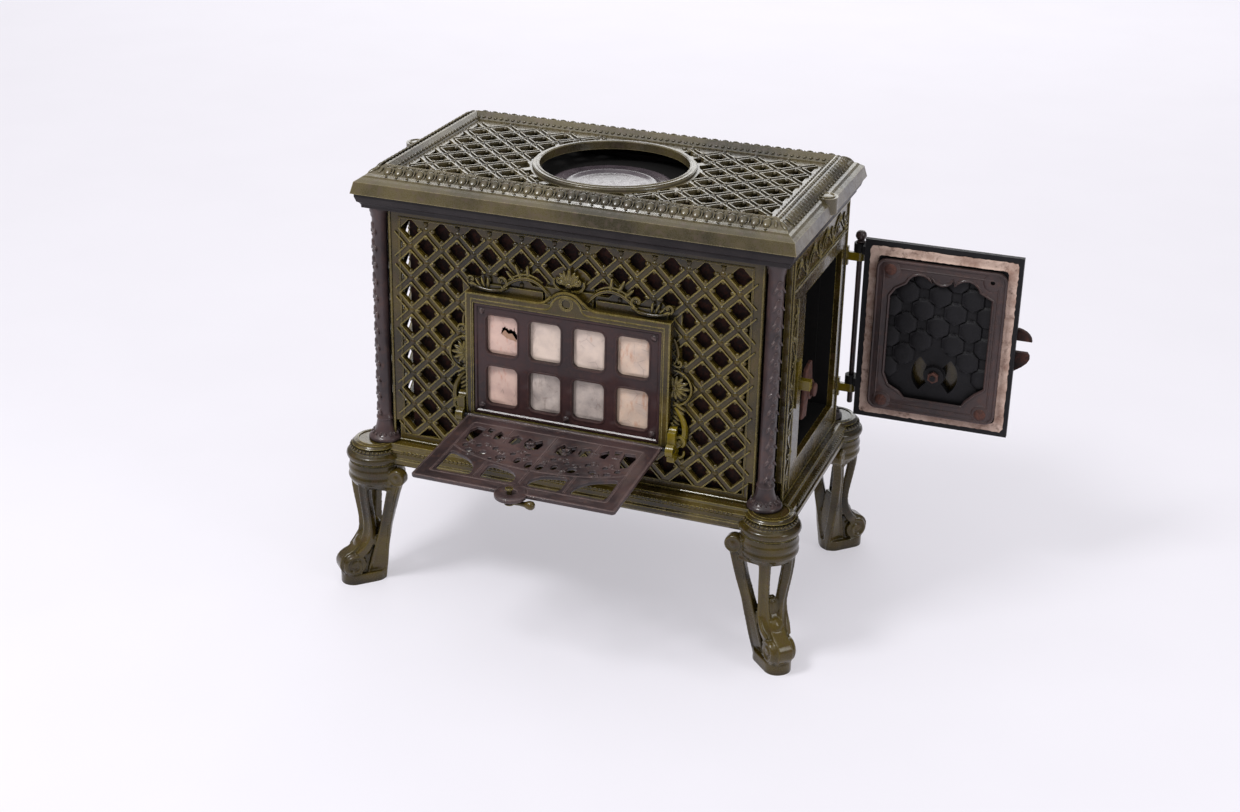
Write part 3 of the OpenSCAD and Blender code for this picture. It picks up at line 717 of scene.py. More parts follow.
class Finish(Enum):
    """Every finish on the stove."""

    OLIVE = Enamel("olive_enamel", (78, 64, 18), (38, 30, 8), (70, 46, 24), (186, 168, 92),
                   0.15, 0.9)
    OLIVE_DARK = Enamel("olive_enamel_dark", (62, 52, 24), (34, 28, 12), (58, 42, 28),
                        (140, 126, 84), 0.24, 0.6)
    BRIGHT = Enamel("olive_enamel_bright", (122, 104, 14), (70, 58, 10), (96, 78, 20),
                    (186, 172, 84), 0.14, 0.5)
    VIOLET = Enamel("violet_enamel", (70, 54, 54), (40, 31, 33), (84, 58, 50), (150, 128, 124),
                    0.3, 0.6, 0.8)
    TOP = Enamel("top_enamel", (88, 78, 50), (50, 44, 26), (84, 66, 58), (172, 158, 118), 0.2, 0.8,
                 0.6, 0.5)
    FRAME = Enamel("brown_enamel", (58, 34, 34), (38, 22, 23), (74, 44, 38), (104, 76, 68), 0.36,
                   0.4, 0.8)
    PLATE = Enamel("plate_enamel", (92, 82, 88), (52, 46, 52), (74, 62, 66), (130, 118, 122),
                   0.14, 0.3, 0.3, 0.6)
    BLACK = Iron("black_iron", (30, 28, 30), (20, 19, 21), (70, 46, 36), 0.25, 0.4)
    CORNICE = Iron("cornice_iron", (46, 41, 42), (32, 28, 30), (74, 56, 44), 0.2, 0.3, 0.4)
    BURNT = Iron("burnt_iron", (48, 34, 32), (32, 23, 22), (92, 50, 38), 0.6, 0.6, 0.9)
    RUST = Iron("rusty_iron", (88, 60, 54), (62, 42, 38), (112, 70, 56), 0.6, 0.5, 1.0)
    # Near-black iron: sooty, and darkened further as painted shade for the dark inside of the firebox.
    SOOT_AND_SHADE = Iron("sooty_iron_and_shade", (13, 11, 11), (8, 7, 7), (34, 20, 16), 0.25, 0.75, 0.9)
    LINER = Enamel("liner_enamel", (66, 50, 49), (44, 33, 33), (84, 56, 48), (112, 92, 88), 0.42,
                   0.4, 1.0)
    SHIELD = Iron("shield_iron", (27, 26, 29), (18, 17, 20), (46, 36, 34), 0.2, 0.4, 0.7)
    CEMENT = Chalk("furnace_cement", (204, 178, 164), (150, 120, 106), (74, 50, 42), 1.0, 20)
    FIRECLAY = Chalk("fireclay", (60, 46, 38), (40, 31, 27), (22, 18, 17), 1.4)
    MICA_PALE = Mica("mica_pale", (222, 202, 188), (200, 182, 172), (190, 140, 104), 0.1)
    MICA_WARM = Mica("mica_warm", (218, 192, 172), (196, 176, 164), (186, 120, 78), 0.55)
    MICA_ROSE = Mica("mica_rose", (216, 184, 170), (196, 164, 154), (194, 122, 92), 0.4)
    MICA_GREY = Mica("mica_grey", (196, 182, 174), (158, 146, 142), (122, 104, 94), 0.4)
    MICA_BURNT = Mica("mica_burnt", (176, 138, 112), (150, 112, 88), (96, 66, 50), 0.5)


MADE: dict[str, bpy.types.Material] = {}


def dressed(finish: Finish) -> bpy.types.Material:
    """The material of a finish, built once."""
    if finish.name not in MADE:
        MADE[finish.name] = finish.value.make()
    return MADE[finish.name]


def piece(name: str, source: object, body: Body, finish: Finish,
          nodes: Sequence[str] = (), sharp: float = 38) -> bpy.types.Object:
    """Finishes a piece: into metres, smooth-shaded, dressed and riding on its body.

    Args:
        name: The piece's name.
        source: A Shape, or a mesh in millimetres.
        body: The body that it rides on.
        finish: Its finish.
        nodes: The CAD nodes that it stands for.
        sharp: Edges sharper than this many degrees stay sharp.

    Returns:
        The new object.
    """
    mesh = source.mesh(name) if isinstance(source, Shape) else source
    mesh.name = name
    mesh.transform(Matrix.Scale(MM, 4))
    work = bmesh.new()
    work.from_mesh(mesh)
    bmesh.ops.remove_doubles(work, verts=work.verts[:], dist=1e-6)
    bmesh.ops.recalc_face_normals(work, faces=work.faces[:])
    work.to_mesh(mesh)
    work.free()
    mesh.shade_smooth()
    mesh.set_sharp_from_angle(angle=radians(sharp))
    made = bpy.data.objects.new(name, mesh)
    bpy.context.scene.collection.objects.link(made)
    mesh.materials.clear()
    mesh.materials.append(dressed(finish))
    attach(made, body.value)
    if nodes:
        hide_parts(*nodes)
    LOG.info("%s: %d faces on %s, finish %s", name, len(mesh.polygons), body.value, finish.name)
    return made


def dress_node(node: str, finish: Finish) -> None:
    """Gives a CAD node its finish."""
    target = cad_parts[node]
    target.data.materials.clear()
    target.data.materials.append(dressed(finish))
    for polygon in target.data.polygons:
        polygon.material_index = 0
    LOG.info("%s: CAD node, finish %s", node, finish.name)


# ---------------------------------------------------------------- placings

FRONT = face_at((0, -158, 0), (1, 0, 0), (0, 0, 1))
REAR = face_at((0, 158, 0), (-1, 0, 0), (0, 0, 1))
LEFT = face_at((-297, 0, 0), (0, -1, 0), (0, 0, 1))
RIGHT = face_at((297, 0, 0), (0, 1, 0), (0, 0, 1))
TOP = face_at((0, 0, 610), (1, 0, 0), (0, 1, 0))
DOOR_SWING = shifted(316, 146, 0) @ turned("Z", 91.1) @ shifted(-316, -146, 0)
DOOR_IN = DOOR_SWING @ face_at((298.3, 146, 0), (0, -1, 0), (0, 0, 1))
DOOR_OUT = DOOR_SWING @ face_at((311, 146, 0), (0, 1, 0), (0, 0, 1))
FLAP_SWING = shifted(0, -177.5, 287) @ turned("X", 93.4) @ shifted(0, 177.5, -287)
FLAP_OUT = FLAP_SWING @ face_at((0, -177.5, 287), (1, 0, 0), (0, 0, 1))


# ---------------------------------------------------------------- sub-assemblies


@dataclass
class Lattice:
    """The ridges and knots cast on a pierced diamond lattice."""

    name: str
    at: Matrix
    half_u: float
    low_v: float
    high_v: float
    row_v: float
    pitch_u: float = 46.6
    pitch_v: float = 46.9
    strip: float = 4.1
    finish: Finish = Finish.OLIVE
    keep_out: list[tuple[float, float, float, float]] = field(default_factory=list)
    keep_round: list[tuple[float, float, float]] = field(default_factory=list)

    def clear(self, u: float, v: float, margin: float = 0) -> bool:
        """Whether a point lies on open lattice."""
        if abs(u) > self.half_u - margin or not self.low_v + margin < v < self.high_v - margin:
            return False
        if any(a < u < b and c < v < d for a, b, c, d in self.keep_out):
            return False
        return all(hypot(u - a, v - b) > r for a, b, r in self.keep_round)

    def ridge(self) -> bpy.types.Mesh:
        """Two thin ridges with a groove between them, along x."""
        shape = Shape()
        for side in (-1, 1):
            shape.drum(shifted(-12.2, side * self.strip, 0) @ turned("Y", 90)
                       @ stretched(1.9, 1.0, 1), 1.35, 1.35, 24.4, 6)
        return shape.mesh("ridge")

    def knot(self) -> bpy.types.Mesh:
        """Four pointed buds round a small boss."""
        shape = Shape()
        for k in range(4):
            shape.ball(turned("Z", 90 * k) @ shifted(9.3, 0, -0.4), (4.4, 3.5, 3.4), 8, 5)
        shape.ball(shifted(0, 0, 0.1), (4.6, 4.6, 2.2), 6, 4)
        return shape.mesh("knot")

    def build(self) -> None:
        """Stamps the whole field and finishes the piece."""
        shape = Shape()
        ridge, knot = self.ridge(), self.knot()
        lean = atan2(self.pitch_v, self.pitch_u)
        columns = int(self.half_u / self.pitch_u) + 2
        rows = int((self.high_v - self.low_v) / self.pitch_v) + 3
        for i in range(-2 * columns, 2 * columns + 1):
            for k in range(-4, 2 * rows + 1):
                u, v = self.pitch_u * i / 2, self.row_v + self.pitch_v * k / 2
                if (i + k) % 2:
                    if self.clear(u, v, 2):
                        shape.stamp(knot, shifted(u, v, 0))
                    continue
                for su, sv in ((1, 1), (-1, 1), (1, -1), (-1, -1)):
                    mu, mv = u + su * self.pitch_u / 4, v + sv * self.pitch_v / 4
                    if su > 0 and self.clear(mu, mv, 3):
                        turn = Matrix.Rotation(-lean if su * sv > 0 else lean, 4, "Z")
                        shape.stamp(ridge, shifted(mu, mv, 0) @ turn)
        shape.moved(self.at)
        piece(self.name, shape, Body.STOVE, self.finish, sharp=60)
        bpy.data.meshes.remove(ridge)
        bpy.data.meshes.remove(knot)


@dataclass
class Casing:
    """The four pierced or plain walls with their borders, and the corner columns."""

    panel_u: float = 266
    low: float = 220
    high: float = 563
    column: tuple[float, float] = (279.5, 157)

    def border(self, name: str, at: Matrix, half_u: float, proud: float = 1.4) -> None:
        """A raised bead round the edge of a wall and a thin one round its lattice field."""
        shape = Shape()
        mid = (self.low + self.high) / 2
        half_v = (self.high - self.low) / 2
        centre = at @ shifted(0, mid, 0)
        shape.moulding((half_u, half_v), [(0.01, proud), (0.8, 0.8), (1.6, 0), (0.8, -0.8),
                                          (0.01, -proud)], centre)
        shape.moulding((half_u - 14.6, half_v - 9.6), [(0.01, 0.9), (1.0, 0.7), (0.8, 0),
                                                       (1.0, -0.7), (0.01, -0.9)], centre)
        piece(name, shape, Body.STOVE, Finish.OLIVE)

    def columns(self) -> None:
        """Corner columns with a bell foot, a ringed head and a climbing chain of leaves."""
        profile = [(0, 220), (23.4, 220), (24, 221), (24, 223.5), (22.6, 225.5), (21.2, 226.6)]
        profile += [(p[0], p[1]) for p in bezier([(21.2, 226.6), (15.5, 230), (13.5, 238),
                                                  (11.4, 250)], 10)]
        profile += [(12.6, 251), (12.6, 254), (11, 255.5), (10.6, 262), (10.6, 548), (12.2, 551),
                    (12.2, 555), (13.4, 557), (13.4, 563), (0, 563)]
        leaf = Shape().ball(turned("Y", 8), (2.2, 4.8, 8.6), 8, 6)
        leaf.ball(shifted(0.4, 0, -9), (1.9, 2.6, 3.0), 6, 4)
        for side in (-1, 1):
            leaf.ball(shifted(-0.6, side * 5.6, -4.2) @ turned("X", side * 34),
                      (2.0, 2.0, 6.4), 6, 4)
        leaf_mesh = leaf.mesh("column_leaf")
        for name, sx, sy in (("front_left", -1, -1), ("front_right", 1, -1),
                             ("rear_left", -1, 1), ("rear_right", 1, 1)):
            shape = Shape()
            place = shifted(sx * self.column[0], sy * self.column[1], 0)
            shape.lathe(profile, place, 40)
            outward = sy * 45 if sx > 0 else 180 - sy * 45
            for k in range(12):
                shape.stamp(leaf_mesh,
                            place @ turned("Z", outward) @ shifted(9.7, 0, 268 + 24.2 * k))
            for k in range(16):
                shape.ball(place @ turned("Z", 22.5 * k) @ shifted(17.6, 0, 229.5),
                           (3, 2.4, 3.6), 6, 4)
            piece(f"column_{name}_cast", shape, Body.STOVE, Finish.VIOLET,
                  [f"column_{name}"], 50)
        bpy.data.meshes.remove(leaf_mesh)

    def build(self) -> None:
        """Builds the walls and columns."""
        window = (-150, 150, 262, 484)
        Lattice("front_lattice", FRONT, 251, 231, 552, 256, keep_out=[window],
                keep_round=[(0, 490, 26)]).build()
        Lattice("rear_lattice", REAR, 251, 231, 552, 256, keep_round=[(0, 470, 79)],
                finish=Finish.OLIVE_DARK).build()
        Lattice("left_lattice", LEFT, 125, 231, 506, 256).build()
        self.border("front_border", FRONT, self.panel_u - 0.5)
        self.border("rear_border", REAR, self.panel_u - 0.5)
        self.border("left_border", LEFT, 139)
        self.columns()
        for node in ("front_panel", "left_panel", "right_panel"):
            dress_node(node, Finish.OLIVE)
        dress_node("rear_panel", Finish.OLIVE_DARK)
        dress_node("tie_rods", Finish.BLACK)


@dataclass
class Crown:
    """The pierced top plate with its mitred moulding, gadroon band and the cornice below."""

    half: tuple[float, float] = (310, 182.3)
    ring_r: float = 103
    gadroon_pitch: tuple[float, float] = (15.5, 11.4)
    bead_pitch: float = 9.2

    def runs(self) -> list[tuple[Matrix, float]]:
        """The four edges: a placing at the middle with x along the edge and y inwards."""
        hx, hy = self.half
        return [(face_at((0, -hy, 0), (1, 0, 0), (0, 1, 0)), hx),
                (face_at((hx, 0, 0), (0, 1, 0), (-1, 0, 0)), hy),
                (face_at((0, hy, 0), (-1, 0, 0), (0, -1, 0)), hx),
                (face_at((-hx, 0, 0), (0, -1, 0), (1, 0, 0)), hy)]

    def gadroons(self) -> None:
        """The row of eggs and darts on the slope, the rope on the crest, a leaf at each mitre."""
        egg = Shape().ball(turned("X", 40), (4.3, 7.6, 2.6), 8, 6)
        egg.ball(shifted(0, -6.6, -5.2) @ turned("X", 40), (1.7, 1.8, 1.9), 6, 4)
        egg_mesh = egg.mesh("egg")
        dart = Shape().ball(turned("X", 40), (1.1, 7.0, 2.0), 6, 4).mesh("dart")
        bead = Shape().ball(turned("Z", 26), (3.6, 2.3, 1.7), 6, 4).mesh("bead")
        shape = Shape()
        for place, half in self.runs():
            pitch = self.gadroon_pitch[0] if half > 200 else self.gadroon_pitch[1]
            wide = stretched(pitch / 11.4, 1, 1)
            count = int((half - 40) / pitch)
            for k in range(-count, count + 1):
                shape.stamp(egg_mesh, place @ shifted(pitch * k, 23.4, 614.4) @ wide)
                if k < count:
                    shape.stamp(dart, place @ shifted(pitch * (k + 0.5), 23.6, 614.4))
            count = int((half - 40) / self.bead_pitch)
            for k in range(-count, count + 1):
                shape.stamp(bead, place @ shifted(self.bead_pitch * k, 34.6, 618.1))
                shape.stamp(bead, place @ shifted(self.bead_pitch * k, 44.6, 613.9)
                            @ turned("X", -38) @ stretched(0.9, 0.9, 0.9))
            for side in (-1, 1):
                shape.ball(place @ shifted(side * (half - 25), 25, 613.6)
                           @ turned("Z", 45 * side) @ turned("X", 22), (3.4, 10, 2.4), 8, 6)
                shape.ball(place @ shifted(side * (half - 35), 24.5, 614)
                           @ turned("Z", 22 * side) @ turned("X", 34), (2.6, 7, 2.2), 8, 6)
        piece("top_gadroons", shape, Body.STOVE, Finish.TOP, sharp=60)
        for mesh in (egg_mesh, dart, bead):
            bpy.data.meshes.remove(mesh)

    def ring(self) -> None:
        """The raised seat round the cooking opening."""
        r = self.ring_r
        profile = [(r + 0.3, 609), (r + 0.3, 614.6), (r + 1.4, 615.8), (r + 3.5, 615.9),
                   (r + 4.6, 614.6), (r + 6.2, 613.4), (r + 8.4, 613.9), (r + 9.4, 612.9),
                   (r + 9.8, 610.8), (r + 10.2, 609), (r + 0.3, 609)]
        shape = Shape().lathe(profile, Matrix.Identity(4), 128)
        piece("cooking_ring", shape, Body.STOVE, Finish.TOP, sharp=70)

    def bosses(self) -> None:
        """The half-round bosses at both ends of the top."""
        shape = Shape()
        for side in (-1, 1):
            place = shifted(side * 298, 0, 587)
            shape.lathe([(0, 0), (14.4, 0), (15.6, 1.2), (15.9, 6), (15.4, 17), (14.4, 19.4),
                         (11.8, 20.8), (8, 21.6), (0, 22)], place, 32)
            shape.lathe([(9.5, 21), (10.8, 22.6), (12.2, 22.2), (12.6, 20.4), (9.5, 21)], place, 32)
        piece("end_bosses", shape, Body.STOVE, Finish.TOP)

    def build(self) -> None:
        """Builds the crown."""
        Lattice("top_lattice", TOP, 253, -129, 129, -70.5, pitch_v=47, strip=3.9,
                finish=Finish.TOP, keep_round=[(0, 0, 122)]).build()
        self.gadroons()
        self.ring()
        self.bosses()
        dress_node("top_plate", Finish.TOP)
        dress_node("cornice", Finish.CORNICE)


@dataclass
class Firebox:
    """What shows through the openings: plates, bricks, grate, shaft and the hot plate."""

    lid_y: float = -12

    def lid(self) -> None:
        """The loose hot plate lid: dished, with a raised rim."""
        profile = [(0, 588.4), (48, 588.2), (55, 588.6), (58, 590.6), (61, 591.3), (64, 590.4),
                   (67, 589.4), (80, 589.9), (84.6, 589.2), (86, 587.4), (86, 584.4), (79.2, 584.2),
                   (79.2, 579.2), (0, 579.2)]
        shape = Shape().lathe(profile, shifted(0, self.lid_y, 0), 96)
        piece("hot_plate_lid_cast", shape, Body.LID, Finish.PLATE,
              ["hot_plate_lid"], 50)

    def lever(self) -> None:
        """The rusty lever plate and shaft end just inside the fire door."""
        plate = [(14, 350), (28, 353.5), (42, 354), (47, 332), (50, 312), (44, 303), (32, 300),
                 (28, 288), (26, 276), (12, 277), (0, 280), (6, 296), (10, 312), (11, 332)]
        shape = Shape().sheet(plate, 0, 5, face_at((278, 0, 0), (0, 1, 0), (0, 0, 1)))
        shape.soften(1.1, 2)
        shape.lathe([(0, 0), (8.2, 0), (9.4, 1), (9.8, 9.6), (8.6, 11), (0, 11.4)],
                    face_at((280, 40, 311), (0, 1, 0), (0, 0, 1)), 24)
        shape.lathe([(0, -2.6), (14, -2.6), (14.6, -1.6), (14.6, 4.6), (13.6, 5.8), (0, 5.9)],
                    face_at((279, 40, 311), (0, 1, 0), (0, 0, 1)), 28)
        shape.drum(face_at((-232, 40, 311), (0, 1, 0), (0, 0, 1)), 8, 8, 514, 24)
        piece("shaker_shaft_worn", shape, Body.GRATE, Finish.RUST, ["shaker_shaft"])

    def bricks(self) -> None:
        """Worn firebricks along the rear and the left wall."""
        shape = Shape()
        rng = random.Random(11)
        for k in range(6):
            shape.block((-234 + 78 * k + 1, 100.6, 300.2), (-234 + 78 * k + 77, 118, 403.6))
        for k in range(2):
            shape.block((-234, -140 + 82 * k + 1, 300.2), (-221.4, -140 + 82 * k + 81, 403.6))
        shape.soften(1.6, 2)
        bmesh.ops.subdivide_edges(shape.bm, cuts=2, use_grid_fill=True,
                                  edges=[e for e in shape.bm.edges if e.calc_length() > 12])
        shape.warp(lambda co: co + Vector([rng.uniform(-0.25, 0.25) for _ in range(3)]))
        piece("firebricks_worn", shape, Body.STOVE, Finish.FIRECLAY, ["firebricks"])

    def build(self) -> None:
        """Builds and dresses the firebox."""
        self.lid()
        self.lever()
        self.bricks()
        # The firebox walls take the near-black sooty iron, which also paints the shade inside the
        # firebox.
        for node in ("firebox_rear", "firebox_left", "bottom_plate", "firebox_right",
                     "door_throat"):
            dress_node(node, Finish.SOOT_AND_SHADE)
        dress_node("firebox_front", Finish.BURNT)
        dress_node("hot_plate", Finish.SOOT_AND_SHADE)
        for node in ("grate_frame", "shaker_grate", "grate_bearings"):
            dress_node(node, Finish.BURNT)
        dress_node("flue_collar", Finish.BLACK)


@dataclass
class Base:
    """The base moulding, its beads and dentils, and the four scroll legs."""

    turret: tuple[float, float] = (291, 166)

    def trims(self) -> None:
        """Beads along the front and rear, dentils along the ends, beads round the turrets."""
        bead = Shape().ball(Matrix.Identity(4), (2.3, 2.3, 2.3), 6, 5).mesh("bead")
        tooth = Shape().block((-2.0, -2.6, -3.2), (2.0, 1.4, 3.2)).soften(0.7, 1).mesh("tooth")
        shape = Shape()
        for side in (-1, 1):
            for k in range(-38, 39):
                shape.stamp(bead, shifted(6.35 * k, side * 181.4, 212.4))
            for k in range(-19, 20):
                shape.stamp(tooth, shifted(side * 314.4, 6.2 * k, 211.4) @ turned("Z", side * 90))
        for sx, sy in ((-1, -1), (1, -1), (-1, 1), (1, 1)):
            centre = shifted(sx * self.turret[0], sy * self.turret[1], 0)
            for k in range(36):
                shape.stamp(bead, centre @ turned("Z", 10 * k) @ shifted(35.4, 0, 211.2))
            shape.lathe([(37.6, 195.5), (41.2, 196.6), (42.3, 199.4), (41.6, 202.6), (39.4, 204.6),
                         (37.6, 205)], centre, 48)
            shape.lathe([(29, 214.6), (33.4, 214.4), (34, 215.6), (33, 216.8), (30.6, 217.6),
                         (30, 220.2), (24.6, 221.2), (24.6, 219)], centre, 48)
        piece("base_trims", shape, Body.STOVE, Finish.OLIVE, sharp=60)
        bpy.data.meshes.remove(bead)
        bpy.data.meshes.remove(tooth)

    def foot_outline(self) -> Outline:
        """The foot in the diagonal plane: outwards, up."""
        outline = bezier([(12, 92), (25, 74), (32, 60), (45, 51)], 10)
        outline += arc((45, 31), 18, 60, -50, 10)
        outline += [(54, 3), (51, 0), (0, 0)]
        outline += bezier([(0, 0), (-9, 22), (-7, 60), (0, 92)], 8)[1:]
        return outline

    def leg_half(self) -> bpy.types.Mesh:
        """The ear, the ear rib, the upright rib and the volute on one side of the diagonal."""
        shape = Shape()
        ear_rib = flowing([(-41, -22, 172, 19, 0), (-35.5, -24, 152, 18, 0), (-30, -23.5, 128, 17, 3),
                           (-25.5, -22, 110, 16.5, 6), (-21, -20.5, 92, 16.5, 10),
                           (-17, -19, 74, 19, 16), (-12.5, -18, 55, 22, 24), (-8, -16.5, 34, 26, 32),
                           (-3, -15, 14, 30, 38), (0, -14, 0.5, 32, 40)], 5)
        shape.ribbon(ear_rib, 11, 2.0)
        upright = flowing([(5, -35, 162, 15.5, -6), (5, -34.5, 148, 15, -6), (4.5, -32, 128, 14.5, -7),
                           (4, -29, 110, 14.5, -8), (4, -26.5, 92, 15, -10), (5.5, -27, 76, 17, -16),
                           (11, -32, 60, 17, -26), (19, -37, 49, 14, -34)], 5)
        shape.ribbon(upright, 10.5, 2.0)
        shape.ribbon([(-34, -25, 158.5, 12, 0), (-20, -27.5, 158.5, 12, 0), (-4, -31, 158.5, 12, 0),
                      (6, -33, 158.5, 12, 0)], 8, 1.4)
        ear = face_at((-42.5, -11.5, 174), (1, 0, 0), (0, 0, 1))
        shape.lathe([(0, 0), (12.5, 0), (12.6, 13), (11.8, 15.2), (9.8, 15.8), (8.4, 14.2),
                     (5, 14.8), (2.4, 16.4), (0, 16.8)], ear, 32)
        cheek = face_at((0, 0, 0), (1, -1, 0), (0, 0, 1)) @ shifted(42, 30, 0)
        shape.drum(cheek @ shifted(0, 0, 6), 18, 16.4, 11, 32)
        shape.stamp(tube([(x, y, 17.2) for x, y in spiral((0, 0), 15.6, 4.2, 150, -520, 40)], 2.5,
                         (0.8, 1, 1, 1)), cheek)
        shape.ball(cheek @ shifted(0, 0, 16.8), (4.4, 4.4, 3), 12, 8)
        return shape.mesh("leg_half")

    def leg_mesh(self) -> bpy.types.Mesh:
        """One leg, its turret axis at the origin, outwards along +X and -Y."""
        shape = Shape()
        shape.lathe([(26.5, 154.5), (34, 154.5), (36.4, 158), (37.4, 160.5), (40, 164), (40.6, 168),
                     (38.4, 172.5), (39.8, 176), (40, 181), (38.6, 184), (38.6, 190.9),
                     (26.5, 190.9), (26.5, 154.5)], Matrix.Identity(4), 48)
        diagonal = face_at((0, 0, 0), (1, -1, 0), (0, 0, 1))
        shape.sheet(self.foot_outline(), -11, 11, diagonal)
        shape.ball(diagonal @ shifted(41, 30, 0), (18.5, 19.5, 18), 24, 16)
        shape.ball(diagonal @ shifted(25, 54, 0), (14, 18, 15), 20, 14)
        shape.ball(diagonal @ shifted(15, 78, 0), (8, 20, 9), 16, 12)
        sole = face_at((0, 0, 0), (1, -1, 0), (1, 1, 0))
        shape.sheet([(x, y) for x, y in rounded(25, 0, 66, 38, 18, 8)], -2, 15, sole)
        half = self.leg_half()
        shape.stamp(half, Matrix.Identity(4))
        shape.stamp(half, Matrix(((0, -1, 0, 0), (-1, 0, 0, 0), (0, 0, 1, 0), (0, 0, 0, 1))))
        bpy.data.meshes.remove(half)
        work = cast(shape, 1.35, 3)
        level = bmesh.new()
        level.from_mesh(work)
        for height, side in ((0.02, False), (190.8, True)):
            everything = level.verts[:] + level.edges[:] + level.faces[:]
            cut = bmesh.ops.bisect_plane(level, geom=everything,
                                         plane_co=(0, 0, height), plane_no=(0, 0, 1),
                                         clear_inner=not side, clear_outer=side)
            rim = [g for g in cut["geom_cut"] if isinstance(g, bmesh.types.BMEdge)]
            bmesh.ops.holes_fill(level, edges=rim, sides=0)
        level.to_mesh(work)
        level.free()
        return work

    def build(self) -> None:
        """Builds the base and the legs."""
        self.trims()
        pattern = self.leg_mesh()
        for name, sx, sy in (("front_left", -1, -1), ("front_right", 1, -1),
                             ("rear_left", -1, 1), ("rear_right", 1, 1)):
            place = shifted(sx * self.turret[0], sy * self.turret[1], 0) @ stretched(sx, -sy, 1)
            shape = Shape().stamp(pattern, place)
            piece(f"leg_{name}_cast", shape, Body.STOVE, Finish.OLIVE,
                  [f"leg_{name}"], 60)
        bpy.data.meshes.remove(pattern)
        dress_node("base_frame", Finish.OLIVE)
        dress_node("leg_bolts", Finish.BLACK)


@dataclass
class Scrolls:
    """Cast ornament made of scrolls, leaves and shells, drawn in the plane of a panel."""

    at: Matrix
    shape: Shape = field(default_factory=Shape)

    def line(self, points: Sequence[Point], radius: float, taper: Sequence[float] = (0.5, 1, 0.6),
             level: float = 0) -> None:
        """A raised stem along a line."""
        self.shape.stamp(tube([(p[0], p[1], level) for p in points], radius, taper, 1), self.at)

    def curl(self, centre: Point, size: float, start: float, turn: float, radius: float = 1.8,
             level: float = 0) -> None:
        """A scroll that winds inwards to a small bud."""
        self.line(spiral(centre, size, size * 0.28, start, turn, 20), radius,
                  (0.7, 1, 1, 0.8), level)
        self.shape.ball(self.at @ shifted(centre[0], centre[1], level), (size * 0.3, size * 0.3, 2.4),
                        8, 6)

    def leaf(self, root: Point, degrees: float, length: float, width: float,
             level: float = 0) -> None:
        """A pointed leaf with a rib."""
        place = self.at @ shifted(root[0], root[1], level) @ turned("Z", degrees)
        self.shape.ball(place @ shifted(length / 2, 0, 0), (length / 2, width / 2, 2.2), 8, 6)
        self.shape.ball(place @ shifted(length / 2, 0, 1.2), (length / 2.2, width / 9, 1.8), 6, 4)

    def fan(self, root: Point, degrees: float, spread: float, count: int, length: float,
            level: float = 0) -> None:
        """A shell of leaves round a bud."""
        for k in range(count):
            share = k / (count - 1) - 0.5
            self.leaf(root, degrees + spread * share, length * (1 - 0.35 * abs(share) * 2),
                      length * 0.3, level)
        self.shape.ball(self.at @ shifted(root[0], root[1], level), (length * 0.2, length * 0.2, 3.4),
                        8, 6)

    def done(self, name: str, finish: Finish, body: Body = Body.STOVE) -> None:
        """Finishes the ornament as one piece."""
        piece(name, self.shape, body, finish, sharp=60)


